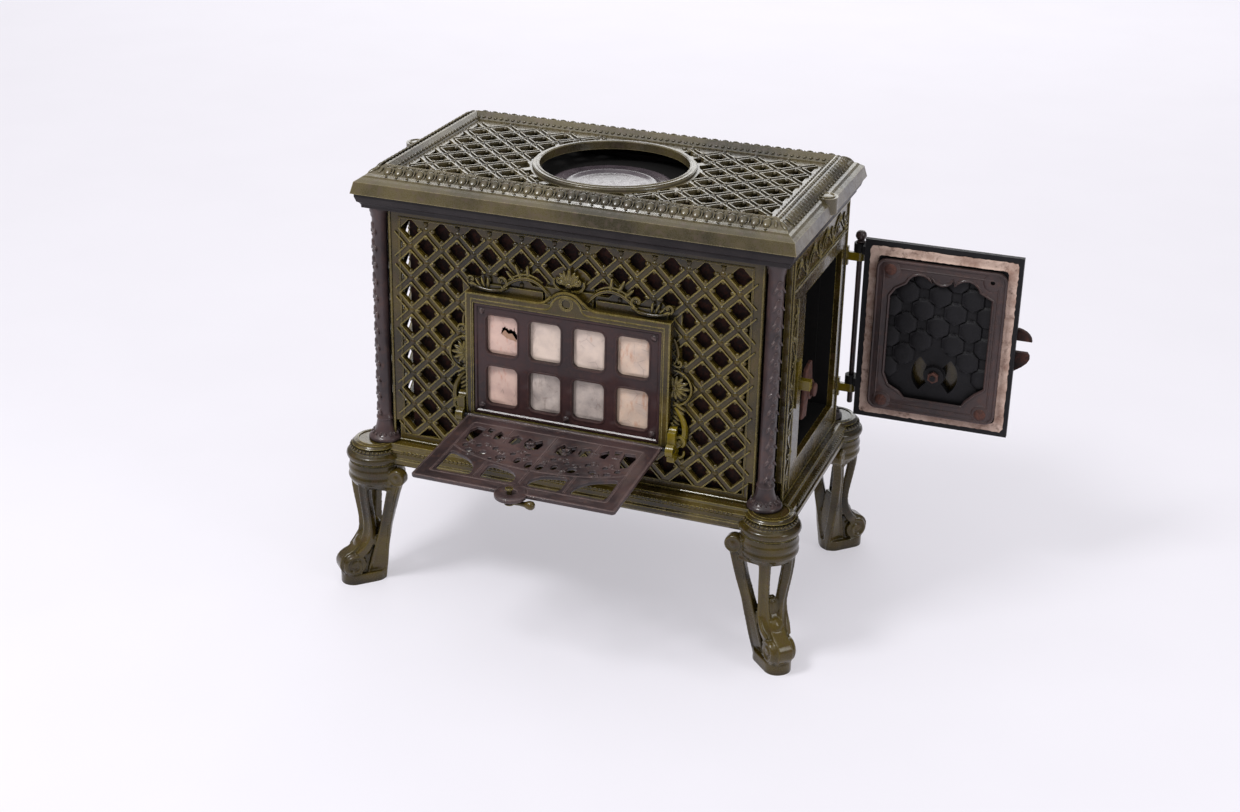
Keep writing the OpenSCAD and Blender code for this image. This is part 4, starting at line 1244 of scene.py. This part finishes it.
@dataclass
class Window:
    """The framed mica window with its screws, its eight panes and the scrolls round it."""

    half: float = 134.5
    low: float = 290.5
    high: float = 452.5
    pane: tuple[float, float] = (45.3, 56.5)
    pitch: tuple[float, float] = (62.7, 73.9)
    middle: float = 371.5
    front: float = 13.0

    def centres(self) -> list[tuple[float, float]]:
        """The centres of the panes, top row first, left to right."""
        return [(self.pitch[0] * i, self.middle + self.pitch[1] * k)
                for k in (0.5, -0.5) for i in (-1.5, -0.5, 0.5, 1.5)]

    def surround(self) -> None:
        """Beads along both edges of the frame and round the arch of the keyhole."""
        shape = Shape()
        arch = [(-137.6, 288.6), (-137.6, 457.6), (-34, 457.8)]
        arch += bezier([(-34, 457.8), (-25, 458), (-22.6, 461), (-20.6, 466)], 6)[1:]
        arch += arc((0, 458), 22.2, 158, 22, 16)
        arch += bezier([(20.6, 466), (22.6, 461), (25, 458), (34, 457.8)], 6)[:-1]
        arch += [(34, 457.8), (137.6, 457.6), (137.6, 288.6)]
        shape.stamp(tube([(x, z, 15.2) for x, z in arch], 1.6, closed=True), FRONT)
        outer = [(-144.4, 285.4), (-144.4, 464.6), (-44, 464.6)]
        outer += bezier([(-44, 464.6), (-33, 465), (-27, 470), (-23, 476)], 6)[1:]
        outer += arc((0, 458), 27, 140, 40, 12)
        outer += bezier([(23, 476), (27, 470), (33, 465), (44, 464.6)], 6)[1:]
        outer += [(144.4, 464.6), (144.4, 285.4)]
        shape.stamp(tube([(x, z, 14.6) for x, z in outer], 1.9, closed=True), FRONT)
        shape.sheet([(-30, 465), *arc((0, 458), 26, 150, 30, 16), (30, 465)][::-1], 1, 14.4, FRONT)
        shape.lathe([(7.4, 15), (8.2, 16.2), (10, 16.4), (10.8, 15)], FRONT @ shifted(0, 470, 0), 28)
        piece("window_beads", shape, Body.STOVE, Finish.OLIVE)
        dress_node("window_surround", Finish.OLIVE)

    def crest(self) -> None:
        """The scrolls over the window and the fleuron at their middle."""
        work = Scrolls(FRONT)
        for side in (-1, 1):
            sweep = bezier([(side * 27, 474), (side * 46, 500), (side * 70, 500), (side * 92, 478)], 16)
            work.line(sweep, 3.4, (0.7, 1, 0.8), 6)
            work.line([(x, z + 5) for x, z in sweep[3:]], 1.8, (0.6, 1, 0.5), 5)
            work.curl((side * 96, 485), 9, 270, -side * 330, 2.4, 7)
            work.line(bezier([(side * 88, 476), (side * 106, 466), (side * 126, 468),
                              (side * 142, 476)], 12), 3.0, (0.7, 1, 0.7), 6)
            work.curl((side * 140, 482), 7, 270, side * 320, 2.2, 7)
            for k, reach in enumerate((20, 24, 20, 15)):
                work.leaf((side * (58 + 9 * k), 492 - 3 * k), 90 - side * (6 + 20 * k), reach, 6, 5)
            for k in range(4):
                work.leaf((side * (116 + 5 * k), 472), 90 - side * (4 + 18 * k), 15, 5, 5)
            work.curl((side * 13, 500), 8, 90, side * 330, 2.2, 6)
            work.line(bezier([(side * 4, 484), (side * 14, 484), (side * 24, 490),
                              (side * 21, 500)], 8), 2.6, (0.8, 1, 0.8), 5)
        work.fan((0, 492), 90, 130, 7, 25, 6)
        work.shape.block((-34, 466, 1.0), (34, 486, 5.0), FRONT)
        for side in (-1, 1):
            work.shape.block((side * 88 - 50, 464, 1.0), (side * 88 + 50, 477, 4.0), FRONT)
        work.done("window_crest", Finish.OLIVE)

    def sides(self) -> None:
        """The shells, feathers and bracket scrolls down both sides."""
        work = Scrolls(FRONT)
        for side in (-1, 1):
            root = (side * 149, 372)
            work.fan(root, 90 - side * 90, 200, 9, 24, 5)
            work.line(arc(root, 25, 90, 90 - side * 180, 16), 1.8, (0.8, 1, 0.8), 5)
            for k in range(6):
                work.leaf((side * 148, 352 - 6.5 * k), 90 - side * 122, 22 - 2 * k, 6, 4)
            work.line(bezier([(side * 147, 404), (side * 158, 414), (side * 154, 428),
                              (side * 147, 440)], 10), 2.6, (0.6, 1, 0.6), 4)
            work.curl((side * 155, 408), 7, 180, side * 300, 2.0, 5)
        work.done("window_shells", Finish.OLIVE)
        work = Scrolls(FRONT)
        for side in (-1, 1):
            work.line(bezier([(side * 152, 344), (side * 170, 326), (side * 172, 300),
                              (side * 156, 288)], 14), 4.4, (0.5, 1, 1.1, 0.9), 5)
            work.curl((side * 160, 298), 9, 300, side * 330, 3.2, 8)
            work.line(bezier([(side * 148, 322), (side * 156, 310), (side * 152, 296),
                              (side * 146, 286)], 10), 3.2, (0.6, 1, 0.8), 6)
            work.line(bezier([(side * 147, 278), (side * 158, 268), (side * 168, 272),
                              (side * 166, 282)], 8), 2.6, (0.6, 1, 0.6), 4)
        work.done("window_brackets", Finish.BRIGHT)
        for node in ("flap_lug_left", "flap_lug_right"):
            dress_node(node, Finish.BRIGHT)

    def frame_rims(self) -> None:
        """The soft rims of the pane openings and the domed screw heads."""
        shape = Shape()
        for x, z in self.centres():
            line = rounded(x, z, self.pane[0] + 3.0, self.pane[1] + 3.0, 9.4)
            shape.stamp(tube([(a, b, self.front - 0.5) for a, b in line], 1.5, sides=1, closed=True),
                        FRONT)
        shape.moulding((self.half - 0.8, (self.high - self.low) / 2 - 0.8),
                       [(0.01, 1.4), (1.6, 0.5), (1.8, -0.2), (1.6, -1.6)],
                       FRONT @ shifted(0, self.middle, self.front - 0.1))
        piece("mica_frame_rims", shape, Body.STOVE, Finish.FRAME)
        dress_node("mica_frame", Finish.FRAME)
        dress_node("mica_retainer", Finish.SOOT_AND_SHADE)
        heads = Shape()
        for k, (x, z) in enumerate(((-123, 303), (0, 303), (123, 303), (-123, 441), (123, 441))):
            place = FRONT @ shifted(x, z, self.front) @ turned("Z", 37 * k)
            heads.lathe([(0, 2.7), (1.6, 2.6), (3.2, 1.9), (4.3, 0.8), (4.6, 0), (1.9, -0.1),
                         (1.9, -9.4), (0, -9.4)], place, 20)
            heads.block((-3.2, -0.45, 2.0), (3.2, 0.45, 2.95), place)
        piece("mica_screw_heads", heads, Body.STOVE, Finish.VIOLET, ["mica_screws"])

    def pane_sheet(self, number: int, centre: Point, finish: Finish,
                   tear: Optional[Outline] = None) -> None:
        """One buckled sheet of mica, torn where the tear's outline says.

        Args:
            number: The sheet's number.
            centre: Its centre on the front.
            finish: Its finish.
            tear: The outline of its hole.
        """
        shape = Shape()
        rng = random.Random(number)
        waves = [(rng.uniform(0.05, 0.16), rng.uniform(-0.16, 0.16), rng.uniform(0, 6))
                 for _ in range(4)]
        bmesh.ops.create_grid(shape.bm, x_segments=40, y_segments=46, size=1.0,
                              matrix=stretched(26, 31, 1))
        if tear is not None:
            gone = [f for f in shape.bm.faces if inside(f.calc_center_median(), tear)]
            bmesh.ops.delete(shape.bm, geom=gone, context="FACES")
            edge = [v for v in shape.bm.verts if v.is_boundary and abs(v.co.x) < 25
                    and abs(v.co.y) < 30]
            for vert in edge:
                vert.co += Vector((rng.uniform(-0.5, 0.5), rng.uniform(-0.5, 0.5), 0))
        for vert in shape.bm.verts:
            x, z = vert.co.x, vert.co.y
            fade = max(0.0, min(1.0, (22.4 - abs(x)) / 4)) * max(0.0, min(1.0, (28 - abs(z)) / 4))
            lift = sum(sin(a * x + b * z + c) for a, b, c in waves) * 0.42 + 1.1
            vert.co.z = fade * lift
        bmesh.ops.solidify(shape.bm, geom=shape.bm.faces[:], thickness=0.5)
        shape.moved(FRONT @ shifted(centre[0], centre[1], 6.4))
        piece(f"mica_sheet_{number}_buckled", shape, Body.STOVE, finish,
              [f"mica_sheet_{number}"], 30)

    def build(self) -> None:
        """Builds the window."""
        self.surround()
        self.crest()
        self.sides()
        self.frame_rims()
        tear = [(-1, 10), (3, 13), (8, 8), (12, 10.5), (14.5, 7), (16.4, 12), (18, 5), (20, 4),
                (21, -3), (17.6, -4.6), (12, -6), (4, -3), (-3, 2)]
        looks = (Finish.MICA_ROSE, Finish.MICA_PALE, Finish.MICA_PALE, Finish.MICA_WARM,
                 Finish.MICA_ROSE, Finish.MICA_GREY, Finish.MICA_GREY, Finish.MICA_WARM)
        for number, (centre, finish) in enumerate(zip(self.centres(), looks), 1):
            self.pane_sheet(number, centre, finish, tear if number == 1 else None)
        flake = Shape().sheet([(-8, -8), (0, 6), (3, 9), (8, 4), (13, 5), (20, -5), (15, -10),
                               (8, -8), (2, -12)], 0, 0.4)
        flake.warp(lambda co: co + Vector((0, 0, 0.05 * (co.y + 12) + 0.5 * sin(co.x * 0.3))))
        flake.moved(FRONT @ shifted(self.centres()[0][0], self.centres()[0][1] - 1, 6.6))
        piece("mica_flake", flake, Body.STOVE, Finish.MICA_BURNT)


def inside(point: Vector, outline: Outline) -> bool:
    """Whether a point lies inside an outline of the plane."""
    found = False
    for (ax, ay), (bx, by) in zip(outline, outline[1:] + outline[:1]):
        if (ay > point.y) != (by > point.y) and point.x < (bx - ax) * (point.y - ay) / (by - ay) + ax:
            found = not found
    return found


@dataclass
class Flap:
    """The drop-down grille in front of the window, its pins and its turn button."""

    half: float = 141
    reach: float = 179
    thick: float = 5
    boss: tuple[float, float, float] = (0, 178, 22)

    def outline(self) -> Outline:
        """The outline with the round boss on its free edge."""
        x, v, r = self.boss
        start = 2.6
        edge = arc((x, v), r, start, 180 - start, 28)
        return [(-self.half, 2), (self.half, 2), (self.half, self.reach - 3),
                (self.half - 3, self.reach), (25, self.reach), *edge, (-25, self.reach),
                (-self.half + 3, self.reach), (-self.half, self.reach - 3)]

    def holes(self) -> list[Outline]:
        """The arched lights, the pierced foliage and the lower lights, for both halves."""
        right: list[Outline] = [
            bezier([(10, 152), (7, 136), (18, 124), (36, 122)], 8)
            + bezier([(36, 122), (50, 120), (56, 116), (56, 130)], 5)[1:]
            + [(56, 150), (52, 156), (15, 156)],
            bezier([(70, 152), (68, 132), (82, 116), (100, 110)], 8)
            + bezier([(100, 110), (110, 106), (118, 100), (119, 108)], 5)[1:]
            + [(119, 150), (114, 156), (74, 156)],
            [(12, 62), (10, 48), (16, 36), (24, 44), (34, 36), (36, 50), (32, 62), (22, 66)],
            [(42, 40), (52, 34), (58, 42), (56, 58), (48, 62), (42, 54)],
            [(72, 54), (70, 40), (78, 32), (82, 42), (80, 56)],
            [(100, 32), (114, 30), (119, 42), (116, 68), (108, 72), (102, 56)],
            [(86, 30), (96, 28), (96, 38), (89, 42)],
        ]
        for x, v, rx, rv in ((8, 104, 5, 9), (26, 98, 4.4, 8), (50, 98, 7, 8), (78, 94, 5.5, 5.5),
                             (98, 94, 5, 5), (38, 84, 4, 4), (66, 78, 4, 5), (18, 80, 4, 4),
                             (108, 82, 4, 5), (90, 78, 4, 4), (62, 108, 3.4, 4)):
            right.append([(x + rx * cos(radians(a)), v + rv * sin(radians(a)))
                          for a in range(0, 360, 30)])
        return right + [[(-x, v) for x, v in reversed(hole)] for hole in right]

    def relief(self, shape: Shape) -> None:
        """Beads along the edges, the arch between the lights and leaves on the foliage band."""
        for level in (self.thick / 2 - 0.5, -self.thick / 2 + 0.5):
            work = Scrolls(FLAP_OUT, shape)
            for side in (-1, 1):
                work.line(bezier([(side * 122, 88), (side * 96, 106), (side * 50, 117), (0, 118)], 18),
                          1.5, (1, 1), level)
                for k, (x, v) in enumerate(((30, 72), (54, 82), (76, 70), (100, 70), (14, 90),
                                            (44, 106), (88, 104), (26, 52), (64, 50), (92, 52))):
                    for turn in (20, 75, 130):
                        work.leaf((side * x, v), turn + 23 * k, 9, 4.2, level)
                for x in (62.5,):
                    work.line([(side * x, 24), (side * x, 60)], 1.5, (1, 1), level)
                    work.line([(side * x, 114), (side * x, 156)], 1.5, (1, 1), level)
            work.line([(0, 24), (0, 154)], 1.6, (1, 1), level)
            for inset in (1.8, 18.6):
                box = rounded(0, self.reach / 2 + 1, 2 * (self.half - inset),
                              self.reach - 2 - 2 * inset, 3, 3)
                shape.stamp(tube([(x, v, level) for x, v in box], 1.2, sides=1, closed=True), FLAP_OUT)

    def build(self) -> None:
        """Builds the flap, its hinge barrel, its boss and its button."""
        shape = Shape().stamp(pierced(self.outline(), self.holes(), self.thick, 0.9), FLAP_OUT)
        shape.drum(FLAP_OUT @ shifted(-self.half, 0, 0) @ turned("Y", 90), 3.2, 3.2, 2 * self.half, 16)
        self.relief(shape)
        shape.lathe([(7.5, -2.2), (8.4, -3.3), (16, -3.4), (20.6, -2.9), (21.6, -1.6), (21.6, 1.6),
                     (20.6, 2.9), (16, 3.4), (8.4, 3.3), (7.5, 2.2)],
                    FLAP_OUT @ shifted(self.boss[0], self.boss[1], 0), 40)
        piece("flap_grille_cast", shape, Body.FLAP, Finish.VIOLET, ["flap_grille"], 50)
        dress_node("flap_pins", Finish.BLACK)
        knob = Shape()
        centre = FLAP_OUT @ shifted(0, 183, 0)
        knob.lathe([(0, -12.4), (3.4, -12.2), (5, -11.4), (5, -9.6), (3.4, -9.4), (3.4, 9),
                    (6.2, 9.2), (7, 10.2), (7, 11), (5.6, 12), (0, 12)], centre, 28)
        knob.lathe([(0, 0), (3.9, 0), (3.3, 6), (3.0, 14), (3.6, 21), (5.2, 24.4), (6.0, 28),
                    (5.6, 31.6), (3.4, 33.8), (0, 34.2)],
                   centre @ shifted(0, 0, 8.5) @ turned("Y", 90), 24)
        piece("flap_button_turned", knob, Body.BUTTON, Finish.OLIVE, ["flap_button"], 50)


@dataclass
class Door:
    """The fire door: plate, dimpled shield, scalloped liner, seal, register, latch and hinge."""

    width: tuple[float, float] = (10.2, 230.5)
    height: tuple[float, float] = (243.5, 511)
    register: tuple[float, float] = (122, 322)

    def aperture(self) -> Outline:
        """The scalloped opening of the liner, in distance from the hinge and height."""
        return ([(50, 318), (58, 300), (74, 292), (82, 283), (165, 283), (170, 292), (182, 304),
                 (195, 314), (195, 448), (180, 456)] + arc((158, 452), 20, 15, 150, 6)
                + arc((123, 476), 16, -20, -160, 6) + arc((92, 452), 20, 30, 165, 6)
                + [(58, 448), (50, 436)])

    def shield(self) -> None:
        """The rows of eight-sided dimples on the inside."""
        shape = Shape()
        rows = [(76 + 45.5 * i, 349 + 46.5 * k) for i in range(3) for k in range(3) if (i, k) != (1, 0)]
        rows += [(98.7 + 45.5 * i, 372.2 + 46.5 * k) for i in range(-1, 3) for k in range(-1, 3)
                 if not (k == -1 and i in (0, 1))]
        for w, z in rows:
            if 42 < w < 204:
                place = DOOR_IN @ shifted(w, z, 0) @ turned("Z", 22.5)
                shape.drum(place @ shifted(0, 0, 0.05), 18.4, 15.0, 3.4, 8)
                shape.ball(place @ shifted(0, 0, 3.2), (14.8, 14.8, 1.7), 8, 6)
        shape.soften(0.8, 2, 25)
        piece("door_dimples", shape, Body.DOOR, Finish.SHIELD, sharp=50)

    def liner(self) -> None:
        """The liner with its raised border, its scalloped rim and its corner pads."""
        w0, w1, z0, z1 = 30, 212, 262, 488
        centre = ((w0 + w1) / 2, (z0 + z1) / 2)
        holes = [self.aperture(), arc((192, 474), 3.2, 0, 345, 23)]
        shape = Shape().stamp(pierced(rounded(*centre, w1 - w0 - 2, z1 - z0 - 2, 12), holes, 3.4, 0.8),
                              DOOR_IN @ shifted(0, 0, 6.6))
        wall = rounded(*centre, w1 - w0, z1 - z0, 13)
        inner = rounded(*centre, w1 - w0 - 8, z1 - z0 - 8, 10)
        shape.stamp(pierced(wall, [inner], 9.0, 1.6), DOOR_IN @ shifted(0, 0, 5.0))
        rim = self.aperture()
        shape.stamp(tube([(w, z, 7.6) for w, z in rim], 2.4, closed=True), DOOR_IN)
        lip = rounded(*centre, w1 - w0 - 22, z1 - z0 - 22, 8)
        shape.stamp(tube([(w, z, 7.9) for w, z in lip], 1.4, closed=True), DOOR_IN)
        for w, z in ((50, 474), (50, 276), (192, 276), (192, 474)):
            shape.lathe([(3.2, 6), (3.2, 9.0), (8, 9.2), (12.6, 9.0), (14, 8), (14.4, 6)],
                        DOOR_IN @ shifted(w, z, 0), 28)
        piece("door_liner_cast", shape, Body.DOOR, Finish.LINER, ["door_liner"], 45)
        heads = Shape()
        for k, (w, z) in enumerate(((50, 474), (50, 276), (192, 276))):
            place = DOOR_IN @ shifted(w, z, 9.0) @ turned("Z", 20 + 55 * k)
            heads.lathe([(0, 2.9), (3, 2.8), (6.2, 2.1), (8.2, 0.9), (8.6, 0.1), (2.9, 0.0),
                         (2.9, -21), (0, -21)], place, 28)
            heads.block((-6, -0.7, 2.2), (6, 0.7, 3.1), place)
        piece("door_liner_screw_heads", heads, Body.DOOR, Finish.RUST,
              ["door_liner_screws"])

    def seal(self) -> None:
        """The crumbling band of furnace cement round the liner."""
        shape = Shape()
        rng = random.Random(5)
        outer = rounded(121.5, 377, 209 - 1.4, 256 - 1.4, 6, 6)
        path: list[Vector] = []
        for (ax, ay), (bx, by) in zip(outer, outer[1:] + outer[:1]):
            count = max(1, int(hypot(bx - ax, by - ay) / 4))
            path += [Vector((ax + (bx - ax) * k / count, ay + (by - ay) * k / count, 0))
                     for k in range(count)]
        section = [(0.0, 0.1), (0.0, 0.9), (1.6, 1.15), (6.0, 1.2), (9.4, 1.1), (11.6, 2.0),
                   (13.2, 3.6), (13.6, 0.1)]
        previous: list[bmesh.types.BMVert] = []
        first: list[bmesh.types.BMVert] = []
        half = (209 / 2, 256 / 2)
        for point in path:
            wander = rng.uniform(0, 1.5)
            ring = []
            for k, (inset, level) in enumerate(section):
                shift = inset + (wander if k < 3 else rng.uniform(-0.4, 0.2))
                reach = max(abs(point.x - 121.5) / half[0], abs(point.y - 377) / half[1])
                share = Vector((1 - shift / half[0] / reach, 1 - shift / half[1] / reach))
                place = Vector((121.5 + (point.x - 121.5) * share.x,
                                377 + (point.y - 377) * share.y,
                                level * (rng.uniform(0.72, 1.0) if 0 < k < 7 else 1)))
                ring.append(shape.bm.verts.new(place))
            ring_edges = [shape.bm.edges.new(pair) for pair in zip(ring, ring[1:] + ring[:1])]
            if previous:
                bmesh.ops.bridge_loops(shape.bm, edges=previous + ring_edges)
            else:
                first = ring_edges
            previous = ring_edges
        bmesh.ops.bridge_loops(shape.bm, edges=previous + first)
        shape.moved(DOOR_IN)
        piece("door_seal_crumbled", shape, Body.DOOR, Finish.CEMENT, ["door_seal"], 50)

    def face(self) -> None:
        """The enamelled outside: a mitred border and a fielded panel with relief."""
        w, z = sum(self.width) / 2, sum(self.height) / 2
        half = ((self.width[1] - self.width[0]) / 2 - 0.3, (self.height[1] - self.height[0]) / 2 - 0.3)
        centre = DOOR_OUT @ shifted(-w, z, -4.8)
        shape = Shape().moulding(half, [(0.01, 0.7), (2.4, 1.2), (2.2, 0.6), (2.0, -0.8), (6.4, -0.9)],
                                 centre)
        shape.moulding((half[0] - 13.8, half[1] - 14.2), [(0.01, 4.4), (1.2, 0.9), (2.4, 0.1),
                                                          (1.2, -0.5)], centre, False)
        work = Scrolls(DOOR_OUT, shape)
        for side in (-1, 1):
            for rise in (-1, 1):
                work.curl((-w + side * 58, z + 4 + rise * 84), 13, 0, 330 * side * rise, 1.3, 0.2)
                work.line(bezier([(-w + side * 70, z + rise * 40), (-w + side * 78, z + rise * 62),
                                  (-w + side * 60, z + rise * 70), (-w + side * 20, z + 4 + rise * 98)],
                                 12), 1.3, (0.5, 1, 0.6), 0.2)
        piece("door_face", shape, Body.DOOR, Finish.OLIVE, sharp=35)
        dress_node("door_plate", Finish.SHIELD)

    def fittings(self) -> None:
        """The register, its bolt, the latch and the hinge rod with its ball."""
        w, z = self.register
        bolt = Shape().lathe([(0, 15), (2.6, 14.8), (3.6, 13.8), (3.95, 12.4), (3.95, 0.5), (0, 0.5)],
                             DOOR_IN @ shifted(w, z, 0), 20)
        nut = DOOR_IN @ shifted(w, z, 0)
        bolt.drum(nut @ shifted(0, 0, 6.4), 8, 8, 5.6, 6)
        bolt.ball(nut @ shifted(0, 0, 12), (6.6, 6.6, 1.0), 12, 6)
        piece("register_bolt", bolt, Body.REGISTER, Finish.RUST, ["register_nut"])
        dress_node("air_register", Finish.BLACK)
        dress_node("door_latch", Finish.BURNT)
        dress_node("latch_pin", Finish.BURNT)
        rod = Shape()
        base = DOOR_SWING @ shifted(316, 146, 0)
        rod.lathe([(0, 253), (3.2, 253.2), (3.95, 254.6), (3.95, 498), (6, 498.4), (6.6, 500.2),
                   (5.2, 501.6), (4.2, 502.2), (6.2, 504), (7.6, 506.6), (7.9, 509), (7, 512.6),
                   (4.6, 515.2), (0, 515.9)], base, 28)
        piece("hinge_rod_turned", rod, Body.DOOR, Finish.VIOLET, ["hinge_rod"], 60)
        for node in ("door_lug_upper", "door_lug_lower"):
            dress_node(node, Finish.BRIGHT)
        # Painted highlight: the keeper takes the bright olive enamel for the highlights along it.
        dress_node("latch_keeper", Finish.BRIGHT)

    def build(self) -> None:
        """Builds the door."""
        self.shield()
        self.liner()
        self.seal()
        self.face()
        self.fittings()


@dataclass
class FireSide:
    """The relief cast on the right wall round the fire door."""

    def vine(self, work: Scrolls, start: Point, end: Point, waves: int, swing: float) -> None:
        """A waving stem with a curl and two leaves in each bay."""
        along = Vector((end[0] - start[0], end[1] - start[1]))
        across = Vector((-along.y, along.x)).normalized() * swing
        steps = waves * 8
        line = [tuple(Vector(start) + along * (k / steps) + across * sin(pi * k / 8))
                for k in range(steps + 1)]
        work.line(line, 1.6, (0.7, 1, 1, 0.7), 0.6)
        heading = atan2(along.y, along.x) / pi * 180
        for k in range(waves):
            side = 1 if k % 2 else -1
            spot = Vector(start) + along * ((k + 0.5) / waves) + across * 0.2 * side
            work.curl(tuple(spot), swing * 0.62, heading + 90 * side, 320 * side, 1.5, 0.8)
            for turn in (35, 75):
                work.leaf(tuple(spot - across * 0.5 * side), heading - side * turn, swing * 1.5,
                          swing * 0.5, 0.5)

    def build(self) -> None:
        """Builds the borders and the relief."""
        shape = Shape()
        shape.moulding((139, 171.5), [(0.01, 1.4), (0.8, 0.8), (1.6, 0), (0.8, -0.8), (0.01, -1.4)],
                       RIGHT @ shifted(0, 391.5, 0))
        for y in (-134, -108):
            shape.stamp(tube([(y, 226, 0.4), (y, 500, 0.4)], 1.3, (1, 1)), RIGHT)
        shape.stamp(tube([(-136, 517, 0.4), (136, 517, 0.4)], 1.5, (1, 1)), RIGHT)
        for k in range(44):
            shape.ball(RIGHT @ shifted(-133 + 6.2 * k, 522.4, 0.4), (2.1, 2.1, 1.6), 6, 4)
        piece("right_border", shape, Body.STOVE, Finish.OLIVE)
        work = Scrolls(RIGHT)
        self.vine(work, (-121, 232), (-121, 498), 8, 8)
        self.vine(work, (-132, 541), (132, 541), 8, 11)
        work.done("right_relief", Finish.OLIVE)
        work = Scrolls(LEFT)
        self.vine(work, (-130, 541), (130, 541), 8, 11)
        work.done("left_relief", Finish.OLIVE)


@dataclass
class Studio:
    """A plain pale floor, soft studio light and the camera."""

    floor_half: float = 30.0
    eye: Point = (0.874816, -2.345310, 1.383779)
    look: Point = (67.0636, -1.3258, 20.0964)
    lens: float = 55.443
    shift: tuple[float, float] = (-0.0157, -0.03755)

    def floor(self) -> None:
        """The pale floor."""
        work = bmesh.new()
        bmesh.ops.create_grid(work, x_segments=1, y_segments=1, size=self.floor_half)
        mesh = bpy.data.meshes.new("floor")
        work.to_mesh(mesh)
        work.free()
        made = bpy.data.objects.new("floor", mesh)
        bpy.context.scene.collection.objects.link(made)
        r = Recipe("pale_floor")
        speck = r.noise(240, 2, 0.5)
        mesh.materials.append(r.finish(r.mix(r.band(speck, 0.3, 0.7), tint(178, 176, 182),
                                             tint(180, 178, 184)), 0.9, Specular_IOR_Level=0.05,
                                       Emission_Color=tint(242, 239, 246), Emission_Strength=0.46))

    def light(self, name: str, at: Point, aim: Point, size: tuple[float, float],
              power: float) -> None:
        """One softbox."""
        lamp = bpy.data.lights.new(name, "AREA")
        lamp.shape = "RECTANGLE"
        lamp.size, lamp.size_y = size
        lamp.energy = power
        made = bpy.data.objects.new(name, lamp)
        made.location = at
        made.rotation_euler = (Vector(aim) - Vector(at)).to_track_quat("-Z", "Y").to_euler()
        made.visible_camera = False
        bpy.context.scene.collection.objects.link(made)

    def sun(self, name: str, turn: Point, spread: float, strength: float) -> None:
        """A broad even light from far away."""
        lamp = bpy.data.lights.new(name, "SUN")
        lamp.angle = radians(spread)
        lamp.energy = strength
        made = bpy.data.objects.new(name, lamp)
        made.rotation_euler = tuple(radians(a) for a in turn)
        bpy.context.scene.collection.objects.link(made)

    def build(self) -> None:
        """Sets the stage."""
        scene = bpy.context.scene
        self.floor()
        world = bpy.data.worlds.new("studio")
        world.use_nodes = True
        background = world.node_tree.nodes["Background"]
        background.inputs["Color"].default_value = (0.98, 0.98, 1.0, 1)
        background.inputs["Strength"].default_value = 0.32
        scene.world = world
        self.sun("overhead", (14, -10, 0), 80, 1.1)
        self.light("softbox_front", (-1.1, -1.7, 3.0), (0, 0, 0.4), (0.8, 0.8), 62)
        self.light("softbox_right", (3.0, -1.0, 1.9), (0, 0, 0.35), (0.9, 1.6), 22)
        self.light("softbox_back", (-1.2, 4.6, 2.2), (0, 0, 0.6), (5, 2.2), 80)
        camera = bpy.data.cameras.new("camera")
        camera.lens = self.lens
        camera.sensor_width = 36
        camera.shift_x, camera.shift_y = self.shift
        camera.clip_end = 200
        made = bpy.data.objects.new("camera", camera)
        made.location = self.eye
        made.rotation_euler = tuple(radians(a) for a in self.look)
        scene.collection.objects.link(made)
        scene.camera = made
        scene.view_settings.view_transform = "Standard"


def main() -> None:
    """Builds the stove and its setting, piece by piece."""
    logging.basicConfig(level=logging.INFO, format="%(name)s: %(message)s")
    for part in (Studio(), Casing(), Crown(), Firebox(), Base(), Window(), Flap(), Door(), FireSide()):
        LOG.info("building %s", type(part).__name__)
        part.build()
    bpy.context.view_layer.update()


if __name__ == "__main__":
    main()
